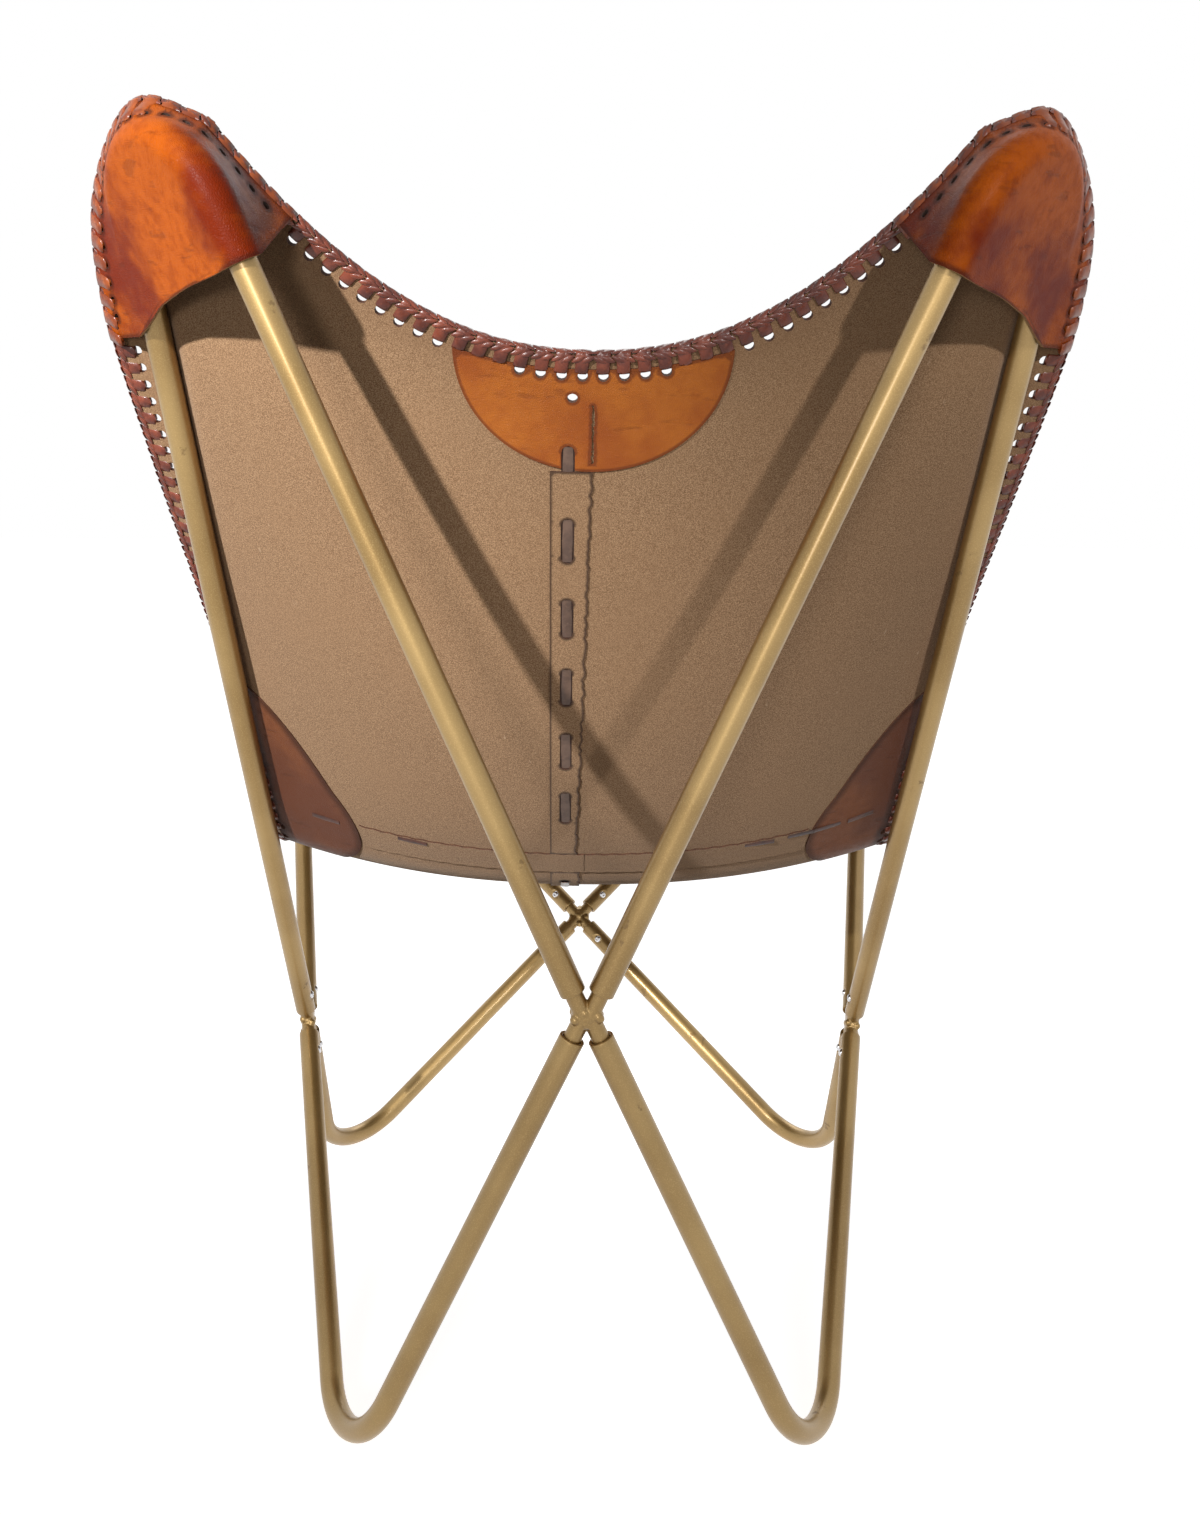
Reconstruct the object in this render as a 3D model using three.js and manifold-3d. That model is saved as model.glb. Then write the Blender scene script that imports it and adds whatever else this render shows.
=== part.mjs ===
import * as THREE from "three";
import { mergeVertices } from "three/addons/utils/BufferGeometryUtils.js";
import Module from "manifold-3d";

// Butterfly sling chair: a knock-down frame of bent tubes and a laced leather sling.
// Millimetres, +Z up, the sitter faces -Y, origin on the floor under the middle.

// Clearances
const GAP = 0.3; // between touching pieces
const SEAM_GAP = 0.4; // between the edges of neighbouring leather panels

// Frame: the points where the straight runs of the tubes would meet, for the +X side
const FOOT_BACK = [169, 373];
const FOOT_FRONT = [245.5, -96];
const SIDE_CROSS = [245.5, 16, 180];
const BACK_CROSS_HEIGHT = 343;
const BACK_CROSS_Y = 393;
const BACK_CROSS_UPPER_DROP = 5; // the upper tubes aim a little below the weld
const BACK_CROSS_LOWER_RISE = 4; // and the lower tubes a little above it
const FRONT_CROSS = [0, -263, 184];
const WING_BACK = [287.5, 437, 1013];
const WING_FRONT = [336, -489, 473.5];

// Tubes
const TUBE_RADIUS = 8.5;
const BORE_RADIUS = 6.3;
const FOOT_BEND_RADIUS = 61;
const WING_BEND_RADIUS = 54.5;
const FOOT_BEND_STEPS = 9;
const WING_BEND_STEPS = 12;
const TUBE_SIDES = 12;
const BORE_SIDES = 8;
const FOOT_FLAT_DEPTH = 0.4; // worn flat under each foot bend
const FLOOR_SETTLE_ROUNDS = 30;
const FLOOR_BLOCK = 2000; // cuts the flats under the feet

// Crosses, stubs and screws
const STUB_RADIUS = BORE_RADIUS - GAP;
const STUB_INSERT = 38; // how far a stub reaches into its tube
const STUB_SIDES = 8;
const WELD_RADIUS = 8;
const WELD_SIDES = 8;
const END_SETBACK = 15; // crossing point to tube end, at the front and the sides
const BACK_UPPER_SETBACK = 23;
const BACK_LOWER_SETBACK = 22;
const SCREW_FROM_END = 19;
const SCREW_HOLE_RADIUS = 1.9;
const SCREW_SHANK_RADIUS = 1.6;
const SCREW_TIP_HEIGHT = 2.6; // from the tube axis
const SCREW_HEAD_RADIUS = 3.8;
const SCREW_HEAD_HEIGHT = 2.7;
const SCREW_HOLE_SIDES = 6;
const SCREW_SIDES = 6;
const SCREW_HEAD_SHARES = [[1, 0], [0.8, 0.68], [0, 1]]; // radius, height

// Sling
const SEAT_HEIGHT = 333; // the sling's lowest place
const WAIST_Y = 45; // where its sides are nearest each other
// Sling ribs from the top edge to the seat's front edge, as shares of the way to the wing corners:
// the rim's side, depth and height, then the middle's depth and height
const BACK_RIB_SHARES = [
  [0.765, 0.901, 0.803, 0.778, 0.621],
  [0.894, 0.875, 0.821, 0.77, 0.609],
  [0.984, 0.804, 0.801, 0.76, 0.593],
  [1.059, 0.722, 0.749, 0.74, 0.563],
  [1.077, 0.658, 0.669, 0.712, 0.519],
  [1.037, 0.515, 0.522, 0.633, 0.4],
  [0.97, 0.352, 0.343, 0.508, 0.246],
  [0.911, 0.212, 0.169, 0.367, 0.113],
  [0.899, 0.151, 0.103, 0.286, 0.056],
  [0.897, 0.089, 0.062, 0.227, 0.025],
];
const FRONT_RIB_SHARES = [
  [0.78, 0.103, 0.192, -0.009, 0],
  [0.836, 0.356, 0.256, 0.281, 0.05],
  [0.938, 0.609, 0.42, 0.545, 0.157],
  [0.994, 0.76, 0.598, 0.669, 0.231],
  [0.982, 0.826, 0.669, 0.697, 0.249],
  [0.94, 0.867, 0.712, 0.712, 0.26],
  [0.875, 0.89, 0.719, 0.721, 0.266],
  [0.72, 0.895, 0.584, 0.73, 0.274],
];
const RIB_POWER = 2.2; // how the cross curve climbs from the middle to the rim
const SEAM_RIB = 8;
const BACK_TIP_RIB = 1;
const FRONT_TIP_RIB = 16;
const LAST_RIB = BACK_RIB_SHARES.length + FRONT_RIB_SHARES.length - 1;
const LEATHER = 3;
const COLUMN_SHARES = [0, 0.17, 0.34, 0.5, 0.62, 0.71, 0.78, 0.83, 0.87, 0.91, 0.955, 1];
const DRAPE_RADIUS = 26; // bend of the leather over a wing tube
const DRAPE_BLEND = 3; // softness where the bend begins
const DRAPE_GAP = 0.5; // between the bend and the tube, so that no facet reaches the tube

// Pockets over the four wing tips
const POCKET_LEATHER = 2.4;
const POCKET_WRAP_STEPS = 4;
const POCKET_BAND = 14; // flat on the panel before it leaves for the tube
const POCKET_GAP = 0.7; // between the pocket and the panel along the rim
const POCKET_SLACK = 2.4; // between the pocket and the tube it holds
const POCKET_LAST_START = 1.5; // radians round the tube, just short of its back
const BACK_POCKET_SIDE_RIB = 4.45;
const BACK_POCKET_EDGE_SHARE = 0.83;
const FRONT_POCKET_SIDE_RIB = 11.85;
const FRONT_POCKET_EDGE_SHARE = 0.78;

// Laced edge binding
const BRAID_THICKNESS = 1.4;
const BRAID_REACH = 11;
const RAISED_REACH = 7; // where it holds a pocket too
const BRAID_GAP = 0.9; // the binding is laced a little loosely over the edge

// Straps and patches on the outside of the sling
const STRIP_WIDTH = 24;
const STRIP_SIDE = 15; // its middle line lies beside the seam that it covers
const STRIP_LEATHER = 2;
const FLAP_WIDTH = 14;
const CENTRE_PATCH_HALF_WIDTH = 86;
const CENTRE_PATCH_DEPTH = 76;
const SIDE_PATCH_RIBS = 1.65;
const SIDE_PATCH_WIDTH = 70;
const PATCH_STEPS = 5;
const CUTTER_DEPTH = 16; // thick enough to cut through the layer of a patch
const STRIP_COLUMNS = 2;
const SIDE_PATCH_COLUMNS = 4;
const TRIM_STEPS = 10;

const vec = (p) => new THREE.Vector3(...p);
const mirrored = (p, side) => new THREE.Vector3(p.x * side, p.y, p.z);
const wasm = await Module();
wasm.setup();

// Materials
const material = (color, roughness, metalness) =>
  new THREE.MeshStandardMaterial({ color, roughness, metalness });
const MATERIALS = {
  frame: material(0xb08d4f, 0.38, 0.85),
  screw: material(0xd8d8da, 0.22, 1),
  suede: material(0x7a6350, 0.92, 0),
  leather: material(0x8a4320, 0.42, 0),
  lace: material(0x6d2d16, 0.4, 0),
};
const MATERIAL_OF = {
  sling_back: "suede", sling_seat: "suede", seam_flap: "suede", patch_side: "leather",
  pocket_back: "leather", pocket_front: "leather", edge_braid: "lace",
};

const chair = new THREE.Group();
chair.name = "butterfly_sling_chair";

function addPiece(name, geometry, slot) {
  geometry.computeVertexNormals();
  const mesh = new THREE.Mesh(geometry, MATERIALS[slot]);
  mesh.name = name;
  chair.add(mesh);
}

// Closed body from corner points and triangles, turned to face out
function bodyFrom(points, faces) {
  let volume = 0;
  for (const [a, b, c] of faces) {
    volume += points[a].dot(points[b].clone().cross(points[c]));
  }
  const order = volume < 0 ? ([a, b, c]) => [a, c, b] : (face) => face;
  const geometry = new THREE.BufferGeometry();
  geometry.setAttribute("position",
    new THREE.Float32BufferAttribute(points.flatMap((p) => p.toArray()), 3));
  geometry.setIndex(faces.flatMap(order));
  return geometry;
}

function toManifold(geometry) {
  const bare = new THREE.BufferGeometry();
  bare.setAttribute("position", geometry.getAttribute("position"));
  if (geometry.index) bare.setIndex(geometry.index);
  const merged = mergeVertices(bare, 1e-4);
  return new wasm.Manifold(new wasm.Mesh({
    numProp: 3,
    vertProperties: new Float32Array(merged.getAttribute("position").array),
    triVerts: new Uint32Array(merged.index.array),
  }));
}

// The same body on the -X side
function mirrorX(geometry) {
  const copy = geometry.clone().scale(-1, 1, 1);
  const index = copy.index.array;
  for (let i = 0; i < index.length; i += 3) [index[i], index[i + 1]] = [index[i + 1], index[i]];
  return copy;
}

function fromManifold(solid) {
  const mesh = solid.getMesh();
  const geometry = new THREE.BufferGeometry();
  geometry.setAttribute("position", new THREE.BufferAttribute(mesh.vertProperties, 3));
  geometry.setIndex(new THREE.BufferAttribute(mesh.triVerts, 1));
  return geometry;
}

// A straight run, a round bend and a straight run, sampled only where it curves
class BentRod extends THREE.Curve {
  constructor(start, corner, end, radius, steps) {
    super();
    const toStart = start.clone().sub(corner).normalize();
    const toEnd = end.clone().sub(corner).normalize();
    const half = toStart.angleTo(toEnd) / 2;
    const middle = toStart.clone().add(toEnd).normalize();
    const centre = corner.clone().addScaledVector(middle, radius / Math.sin(half));
    const axis = toEnd.clone().cross(toStart).normalize();
    const first = corner.clone().addScaledVector(toStart, radius / Math.tan(half)).sub(centre);
    const turn = Math.PI - 2 * half;
    this.knots = [start.clone()];
    this.directions = [toStart.clone().negate()];
    for (let i = 0; i <= steps; i++) {
      const angle = (turn * i) / steps;
      this.knots.push(first.clone().applyAxisAngle(axis, angle).add(centre));
      this.directions.push(toStart.clone().negate().applyAxisAngle(axis, angle));
    }
    this.knots.push(end.clone());
    this.directions.push(toEnd.clone());
  }

  getPoint(t) {
    const place = t * (this.knots.length - 1);
    const i = Math.min(Math.floor(place), this.knots.length - 2);
    return this.knots[i].clone().lerp(this.knots[i + 1], place - i);
  }

  getTangent(t) {
    const place = t * (this.knots.length - 1);
    const i = Math.min(Math.floor(place + 1e-9), this.knots.length - 2);
    return this.directions[i].clone().lerp(this.directions[i + 1], place - i).normalize();
  }

  getPointAt(u) { return this.getPoint(u); }
  getTangentAt(u) { return this.getTangent(u); }
  lowest() { return Math.min(...this.knots.map((p) => p.z)); }

  // Nearest place on the centre line: the point and the direction there
  nearest(point) {
    let best = null;
    for (let i = 0; i < this.knots.length - 1; i++) {
      const line = new THREE.Line3(this.knots[i], this.knots[i + 1]);
      const spot = line.closestPointToPoint(point, true, new THREE.Vector3());
      const distance = spot.distanceTo(point);
      if (best && distance >= best.distance) continue;
      const share = spot.distanceTo(this.knots[i]) / line.distance();
      const direction = this.directions[i].clone().lerp(this.directions[i + 1], share);
      best = { distance, spot, direction: direction.normalize() };
    }
    return best;
  }
}

// Frame points
const backUpper = vec([0, BACK_CROSS_Y, BACK_CROSS_HEIGHT - BACK_CROSS_UPPER_DROP]);
const backLower = vec([0, BACK_CROSS_Y, BACK_CROSS_HEIGHT + BACK_CROSS_LOWER_RISE]);
const frontMeet = vec(FRONT_CROSS);

function setback(from, toward, distance) {
  return from.clone().addScaledVector(toward.clone().sub(from).normalize(), distance);
}

function rod(first, firstSetback, corner, last, lastSetback, radius, steps) {
  return new BentRod(setback(first, corner, firstSetback), corner,
    setback(last, corner, lastSetback), radius, steps);
}

// A foot's corner is lowered until the tube's underside is the flat's depth below the floor
function footRod(side, place, last, lastSetback) {
  const sideCross = mirrored(vec(SIDE_CROSS), side);
  const corner = new THREE.Vector3(place[0] * side, place[1], 0);
  let result;
  for (let i = 0; i < FLOOR_SETTLE_ROUNDS; i++) {
    result = rod(sideCross, END_SETBACK, corner, last, lastSetback,
      FOOT_BEND_RADIUS, FOOT_BEND_STEPS);
    corner.z -= result.lowest() - TUBE_RADIUS + FOOT_FLAT_DEPTH;
  }
  return { curve: result, corner };
}

function ring(radius, sides) {
  return Array.from({ length: sides }, (_, i) => {
    const angle = (2 * Math.PI * i) / sides;
    return new THREE.Vector2(radius * Math.cos(angle), radius * Math.sin(angle));
  });
}

function rodBody(curve, radius, bore) {
  const outline = new THREE.Shape(ring(radius, TUBE_SIDES));
  if (bore) {
    outline.holes.push(new THREE.Path(ring(bore / Math.cos(Math.PI / BORE_SIDES), BORE_SIDES)));
  }
  return toManifold(new THREE.ExtrudeGeometry(outline,
    { steps: curve.knots.length - 1, curveSegments: 1, extrudePath: curve }));
}

// A cylinder from one point to another
function bar(from, to, radius, sides) {
  const span = to.clone().sub(from);
  const geometry = new THREE.CylinderGeometry(radius, radius, span.length(), sides);
  const turn = new THREE.Quaternion().setFromUnitVectors(
    new THREE.Vector3(0, 1, 0), span.clone().normalize());
  geometry.applyQuaternion(turn);
  geometry.translate(...from.clone().add(to).multiplyScalar(0.5).toArray());
  return toManifold(geometry);
}

// Tubes of the frame, and for each cross the tube ends it holds
const tubes = {};
const backMeet = vec([0, BACK_CROSS_Y, BACK_CROSS_HEIGHT]);
const crosses = {
  back: { centre: backMeet, inward: vec([0, -1, 0]), ends: [] },
  front: { centre: frontMeet, inward: vec([0, 1, 0]), ends: [] },
  left: { centre: mirrored(vec(SIDE_CROSS), 1), inward: vec([-1, 0, 0]), ends: [] },
  right: { centre: mirrored(vec(SIDE_CROSS), -1), inward: vec([1, 0, 0]), ends: [] },
};

function joinTube(name, curve, corner, firstCross, first, lastCross, last, lastSetback) {
  tubes[name] = { curve, body: rodBody(curve, TUBE_RADIUS, BORE_RADIUS) };
  const joints = [[firstCross, first, END_SETBACK], [lastCross, last, lastSetback]];
  for (const [cross, meet, back] of joints) {
    crosses[cross].ends.push({ tube: name, meet, setback: back,
      direction: corner.clone().sub(meet).normalize() });
  }
}

for (const [sideName, side] of [["left", 1], ["right", -1]]) {
  const sideMeet = mirrored(vec(SIDE_CROSS), side);
  const footBack = footRod(side, FOOT_BACK, backLower, BACK_LOWER_SETBACK);
  joinTube(`foot_tube_back_${sideName}`, footBack.curve, footBack.corner,
    sideName, sideMeet, "back", backLower, BACK_LOWER_SETBACK);
  const footFront = footRod(side, FOOT_FRONT, frontMeet, END_SETBACK);
  joinTube(`foot_tube_front_${sideName}`, footFront.curve, footFront.corner,
    sideName, sideMeet, "front", frontMeet, END_SETBACK);
  const wings = [
    ["back", vec(WING_BACK), backUpper, BACK_UPPER_SETBACK],
    ["front", vec(WING_FRONT), frontMeet, END_SETBACK],
  ];
  for (const [end, tip, meet, back] of wings) {
    const corner = mirrored(tip, side);
    const curve = rod(sideMeet, END_SETBACK, corner, meet, back, WING_BEND_RADIUS, WING_BEND_STEPS);
    joinTube(`wing_tube_${end}_${sideName}`, curve, corner, sideName, sideMeet, end, meet, back);
  }
}

// Crosses with their stubs, and the screws through the tube walls into the stubs
const screwProfile = [
  new THREE.Vector2(0, SCREW_TIP_HEIGHT),
  new THREE.Vector2(SCREW_SHANK_RADIUS, SCREW_TIP_HEIGHT),
  new THREE.Vector2(SCREW_SHANK_RADIUS, TUBE_RADIUS + GAP),
  ...SCREW_HEAD_SHARES.map(([across, up]) =>
    new THREE.Vector2(SCREW_HEAD_RADIUS * across, TUBE_RADIUS + GAP + SCREW_HEAD_HEIGHT * up)),
];

for (const [name, cross] of Object.entries(crosses)) {
  const weld = new THREE.SphereGeometry(WELD_RADIUS, WELD_SIDES, WELD_SIDES / 2);
  weld.translate(...cross.centre.toArray());
  let body = toManifold(weld);
  cross.ends.forEach((end, index) => {
    const along = (distance) => end.meet.clone().addScaledVector(end.direction, distance);
    body = body.add(bar(end.meet, along(end.setback + STUB_INSERT), STUB_RADIUS, STUB_SIDES));
    const place = along(end.setback + SCREW_FROM_END);
    const outOfWall = cross.inward.clone()
      .addScaledVector(end.direction, -cross.inward.dot(end.direction)).normalize();
    const pilot = bar(place.clone().addScaledVector(outOfWall, SCREW_TIP_HEIGHT - GAP),
      place.clone().addScaledVector(outOfWall, TUBE_RADIUS + SCREW_HEAD_HEIGHT),
      SCREW_HOLE_RADIUS, SCREW_HOLE_SIDES);
    body = body.subtract(pilot);
    tubes[end.tube].body = tubes[end.tube].body.subtract(pilot);
    const screw = new THREE.LatheGeometry(screwProfile, SCREW_SIDES);
    screw.applyQuaternion(new THREE.Quaternion().setFromUnitVectors(
      new THREE.Vector3(0, 1, 0), outOfWall));
    screw.translate(...place.toArray());
    addPiece(`screw_${name}_${index + 1}`, fromManifold(toManifold(screw)), "screw");
  });
  addPiece(`cross_${name}`, fromManifold(body), "frame");
}

const underFloor = new THREE.BoxGeometry(FLOOR_BLOCK, FLOOR_BLOCK, FLOOR_BLOCK);
underFloor.translate(0, 0, -FLOOR_BLOCK / 2);
const underFloorBody = toManifold(underFloor);
for (const [name, tube] of Object.entries(tubes)) {
  const body = name.startsWith("foot") ? tube.body.subtract(underFloorBody) : tube.body;
  addPiece(name, fromManifold(body), "frame");
}

// Wing tubes of the +X side and the direction from each wing's plane to the sitter
const wingPlanes = [["back", backUpper, WING_BACK, -1], ["front", frontMeet, WING_FRONT, 1]]
  .map(([end, meet, tip, up]) => {
    const corner = vec(tip);
    const inside = vec(SIDE_CROSS).sub(corner).cross(meet.clone().sub(corner)).normalize();
    if (Math.sign(end === "back" ? inside.y : inside.z) !== up) inside.negate();
    const middle = corner.clone().add(vec(SIDE_CROSS)).add(meet).divideScalar(3);
    return { end, curve: tubes[`wing_tube_${end}_left`].curve, inside, middle };
  });

// Sling surface: u runs from the middle (0) to the rim (1 or -1), v counts ribs
const ribPlace = ([side, depth, height], corner) => new THREE.Vector3(side * corner[0],
  THREE.MathUtils.lerp(WAIST_Y, corner[1], depth),
  THREE.MathUtils.lerp(SEAT_HEIGHT, corner[2], height));
const ribCurve = (pick) => new THREE.CatmullRomCurve3([
  ...BACK_RIB_SHARES.map((rib) => ribPlace(pick(rib), WING_BACK)),
  ...FRONT_RIB_SHARES.map((rib) => ribPlace(pick(rib), WING_FRONT)),
]);
const rimCurve = ribCurve((rib) => rib.slice(0, 3));
const middleCurve = ribCurve((rib) => [0, ...rib.slice(3)]);
const TUBE_CLEARANCE = TUBE_RADIUS + DRAPE_GAP + LEATHER / 2;

function surface(u, v) {
  const rim = rimCurve.getPoint(v / LAST_RIB);
  const middle = middleCurve.getPoint(v / LAST_RIB);
  const climb = Math.abs(u) ** RIB_POWER;
  const point = new THREE.Vector3(Math.abs(u) * rim.x,
    THREE.MathUtils.lerp(middle.y, rim.y, climb), THREE.MathUtils.lerp(middle.z, rim.z, climb));
  for (const { curve, inside } of wingPlanes) {
    const offset = point.clone().sub(curve.nearest(point).spot);
    const height = offset.dot(inside);
    const sideways = offset.lengthSq() - height ** 2;
    const short = TUBE_CLEARANCE - sideways / (2 * DRAPE_RADIUS) - height;
    point.addScaledVector(inside, (short + Math.hypot(short, DRAPE_BLEND)) / 2);
  }
  return u < 0 ? mirrored(point, -1) : point;
}

// Unit normal on the outside, behind and under the sitter
const SMALL_STEP = 1e-3; // of a share or a rib
function outside(u, v) {
  const [nearer, farther] = [Math.min(u + SMALL_STEP, 1), Math.max(u - SMALL_STEP, -1)];
  const across = surface(nearer, v).sub(surface(farther, v));
  const [next, before] = [Math.min(v + SMALL_STEP, LAST_RIB), Math.max(v - SMALL_STEP, 0)];
  const along = surface(u, next).sub(surface(u, before));
  return across.cross(along).normalize();
}

// Places along a run: lists of [u, v] from one to another
function run(from, to, count) {
  return Array.from({ length: count + 1 }, (_, i) => [
    THREE.MathUtils.lerp(from[0], to[0], i / count),
    THREE.MathUtils.lerp(from[1], to[1], i / count)]);
}

// Thin solid around a mid-surface given as rows of points
function sheet(rows, thickness, lift = 0) {
  const keys = new Map();
  const points = [];
  const indexOf = (p) => {
    const key = p.toArray().map((value) => value.toFixed(3)).join();
    if (!keys.has(key)) keys.set(key, points.push(p) - 1);
    return keys.get(key);
  };
  const grid = rows.map((row) => row.map(indexOf));
  const faces = [];
  for (let i = 0; i < grid.length - 1; i++) {
    for (let j = 0; j < grid[i].length - 1; j++) {
      const [a, b, c, d] = [grid[i][j], grid[i][j + 1], grid[i + 1][j + 1], grid[i + 1][j]];
      for (const face of [[a, b, c], [a, c, d]]) {
        if (new Set(face).size === 3) faces.push(face);
      }
    }
  }
  const normals = points.map(() => new THREE.Vector3());
  for (const [a, b, c] of faces) {
    const normal = points[b].clone().sub(points[a]).cross(points[c].clone().sub(points[a]));
    for (const corner of [a, b, c]) normals[corner].add(normal);
  }
  normals.forEach((normal) => normal.normalize());
  const layer = (offset) => points.map((p, i) => p.clone().addScaledVector(normals[i], offset));
  const count = points.length;
  const body = [...faces, ...faces.map(([a, b, c]) => [a + count, c + count, b + count])];
  const edges = new Set(faces.flatMap(([a, b, c]) => [`${a},${b}`, `${b},${c}`, `${c},${a}`]));
  for (const edge of edges) {
    const [a, b] = edge.split(",").map(Number);
    if (edges.has(`${b},${a}`)) continue;
    body.push([b, a, a + count], [b, a + count, b + count]);
  }
  return toManifold(bodyFrom([...layer(lift + thickness / 2), ...layer(lift - thickness / 2)], body));
}

const otherSide = (body) => toManifold(mirrorX(fromManifold(body)));

function addPair(name, body) {
  addPiece(`${name}_left`, fromManifold(body), MATERIAL_OF[name]);
  addPiece(`${name}_right`, mirrorX(fromManifold(body)), MATERIAL_OF[name]);
}

// Main panels: back and seat, each in two halves, with closer rows where the leather bends
const halfSeam = SEAM_GAP / 2;
const seamShare = 0.008; // of a rib, half the gap along the cross seam
const BACK_ROWS = [[0, 6, 12], [6, SEAM_RIB - seamShare, 6]]; // from rib, to rib, rows
const SEAT_ROWS = [[SEAM_RIB + seamShare, 10, 6], [10, 12, 4], [12, LAST_RIB, 13]];
const places = (from, to, count) => run([0, from], [0, to], count).map(([, v]) => v);
const rowPlaces = (spans) => spans.flatMap((span, i) => places(...span).slice(i ? 1 : 0));
const backPlaces = rowPlaces(BACK_ROWS);
const seatPlaces = rowPlaces(SEAT_ROWS);
const columns = (v) => {
  const inner = halfSeam / rimCurve.getPoint(v / LAST_RIB).x;
  return [inner, ...COLUMN_SHARES.slice(1)];
};
const panelRows = (rows) => rows.map((v) => columns(v).map((u) => surface(u, v)));
const backRows = panelRows(backPlaces);
const seatRows = panelRows(seatPlaces);
const seatPanel = sheet(seatRows, LEATHER);
addPair("sling_back", sheet(backRows, LEATHER));
addPair("sling_seat", seatPanel);

// The whole sling grown by the gap on each face, to cut the trim clear of it
const bothSides = (v) => [...COLUMN_SHARES.slice(1).reverse().map((u) => -u), ...COLUMN_SHARES]
  .map((u) => surface(u, v));
const wholeRows = [...backPlaces, ...seatPlaces.slice(1)].map(bothSides);
const grown = sheet(wholeRows, LEATHER + 2 * GAP);

// Direction of the rim at a place on it
function rimDirection(u, v) {
  const [shareStep, ribStep] = [0.02, 0.1];
  const side = Math.sign(u || 1);
  const onEnd = v <= 0 || v >= LAST_RIB;
  const ribBack = v >= LAST_RIB ? -ribStep : ribStep;
  const one = onEnd ? surface(u - side * shareStep, v) : surface(u, v - ribStep);
  const other = onEnd && Math.abs(u) < 1 ? surface(u + side * shareStep, v) : surface(u, v + ribBack);
  return other.sub(one).normalize();
}

// Rim stations: point, outside normal, and the direction into the sling
const INWARD_SHARE = 0.1; // of the way from the rim towards the middle and the seam
function rimStations(path) {
  return path.map(([u, v]) => {
    const point = surface(u, v);
    const normal = outside(u, v);
    const inward = normal.clone().cross(rimDirection(u, v)).normalize();
    const inside = surface(u * (1 - INWARD_SHARE), THREE.MathUtils.lerp(v, SEAM_RIB, INWARD_SHARE))
      .sub(point);
    if (inward.dot(inside) < 0) inward.negate();
    const seat = nearestOnSling(point.clone().addScaledVector(inward, BRAID_REACH), u, v);
    inward.copy(seat).sub(point).normalize();
    normal.addScaledVector(inward, -normal.dot(inward)).normalize();
    return { u, v, point, normal, inward };
  });
}

// Closest point of the sling's middle layer, by small steps from a first guess
const SEARCH_ROUNDS = 12;
const FLAT_LIMIT = 1e-6;
function nearestOnSling(target, u, v) {
  for (let i = 0; i < SEARCH_ROUNDS; i++) {
    const here = surface(u, v);
    const uStep = -Math.sign(u || 1) * SMALL_STEP;
    const vStep = v > SEAM_RIB ? -SMALL_STEP : SMALL_STEP;
    const du = surface(u + uStep, v).sub(here).divideScalar(uStep);
    const dv = surface(u, v + vStep).sub(here).divideScalar(vStep);
    const gap = target.clone().sub(here);
    const [a, b, c] = [du.dot(du), du.dot(dv), dv.dot(dv)];
    const [e, f] = [du.dot(gap), dv.dot(gap)];
    const det = a * c - b * b;
    if (Math.abs(det) < FLAT_LIMIT) break;
    u = THREE.MathUtils.clamp(u + (e * c - f * b) / det, -1, 1);
    v = THREE.MathUtils.clamp(v + (a * f - b * e) / det, 0, LAST_RIB);
  }
  return surface(u, v);
}

// Laced binding: a folded strip over the rim, wider where it also holds a pocket
function braid(path) {
  const half = LEATHER / 2 + BRAID_GAP;
  const nose = -BRAID_GAP - BRAID_THICKNESS;
  const profileAt = (outer, reach) => [
    [reach, outer], [reach, outer + BRAID_THICKNESS], [nose, outer + BRAID_THICKNESS],
    [nose, -half - BRAID_THICKNESS], [BRAID_REACH, -half - BRAID_THICKNESS],
    [BRAID_REACH, -half], [-BRAID_GAP, -half], [-BRAID_GAP, outer],
  ];
  const points = rimStations(path).flatMap((station) => {
    const isRaised = raised(Math.abs(station.u), station.v);
    const outer = half + (isRaised ? POCKET_LEATHER + POCKET_GAP : 0);
    const corners = profileAt(outer, isRaised ? RAISED_REACH : BRAID_REACH);
    return corners.map(([inward, up]) => station.point.clone()
      .addScaledVector(station.inward, inward).addScaledVector(station.normal, up));
  });
  const outline = profileAt(half, BRAID_REACH).map(([x, y]) => new THREE.Vector2(x, y));
  const size = outline.length;
  const last = points.length - size;
  const faces = [];
  for (let start = 0; start < last; start += size) {
    for (let j = 0; j < size; j++) {
      const [a, b] = [start + j, start + (j + 1) % size];
      faces.push([a, b, b + size], [a, b + size, a + size]);
    }
  }
  const turned = THREE.ShapeUtils.isClockWise(outline);
  for (const [a, b, c] of THREE.ShapeUtils.triangulateShape([...outline], [])) {
    faces.push(turned ? [a, b, c] : [a, c, b]);
    faces.push(turned ? [a + last, c + last, b + last] : [a + last, b + last, c + last]);
  }
  return toManifold(bodyFrom(points, faces));
}

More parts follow.
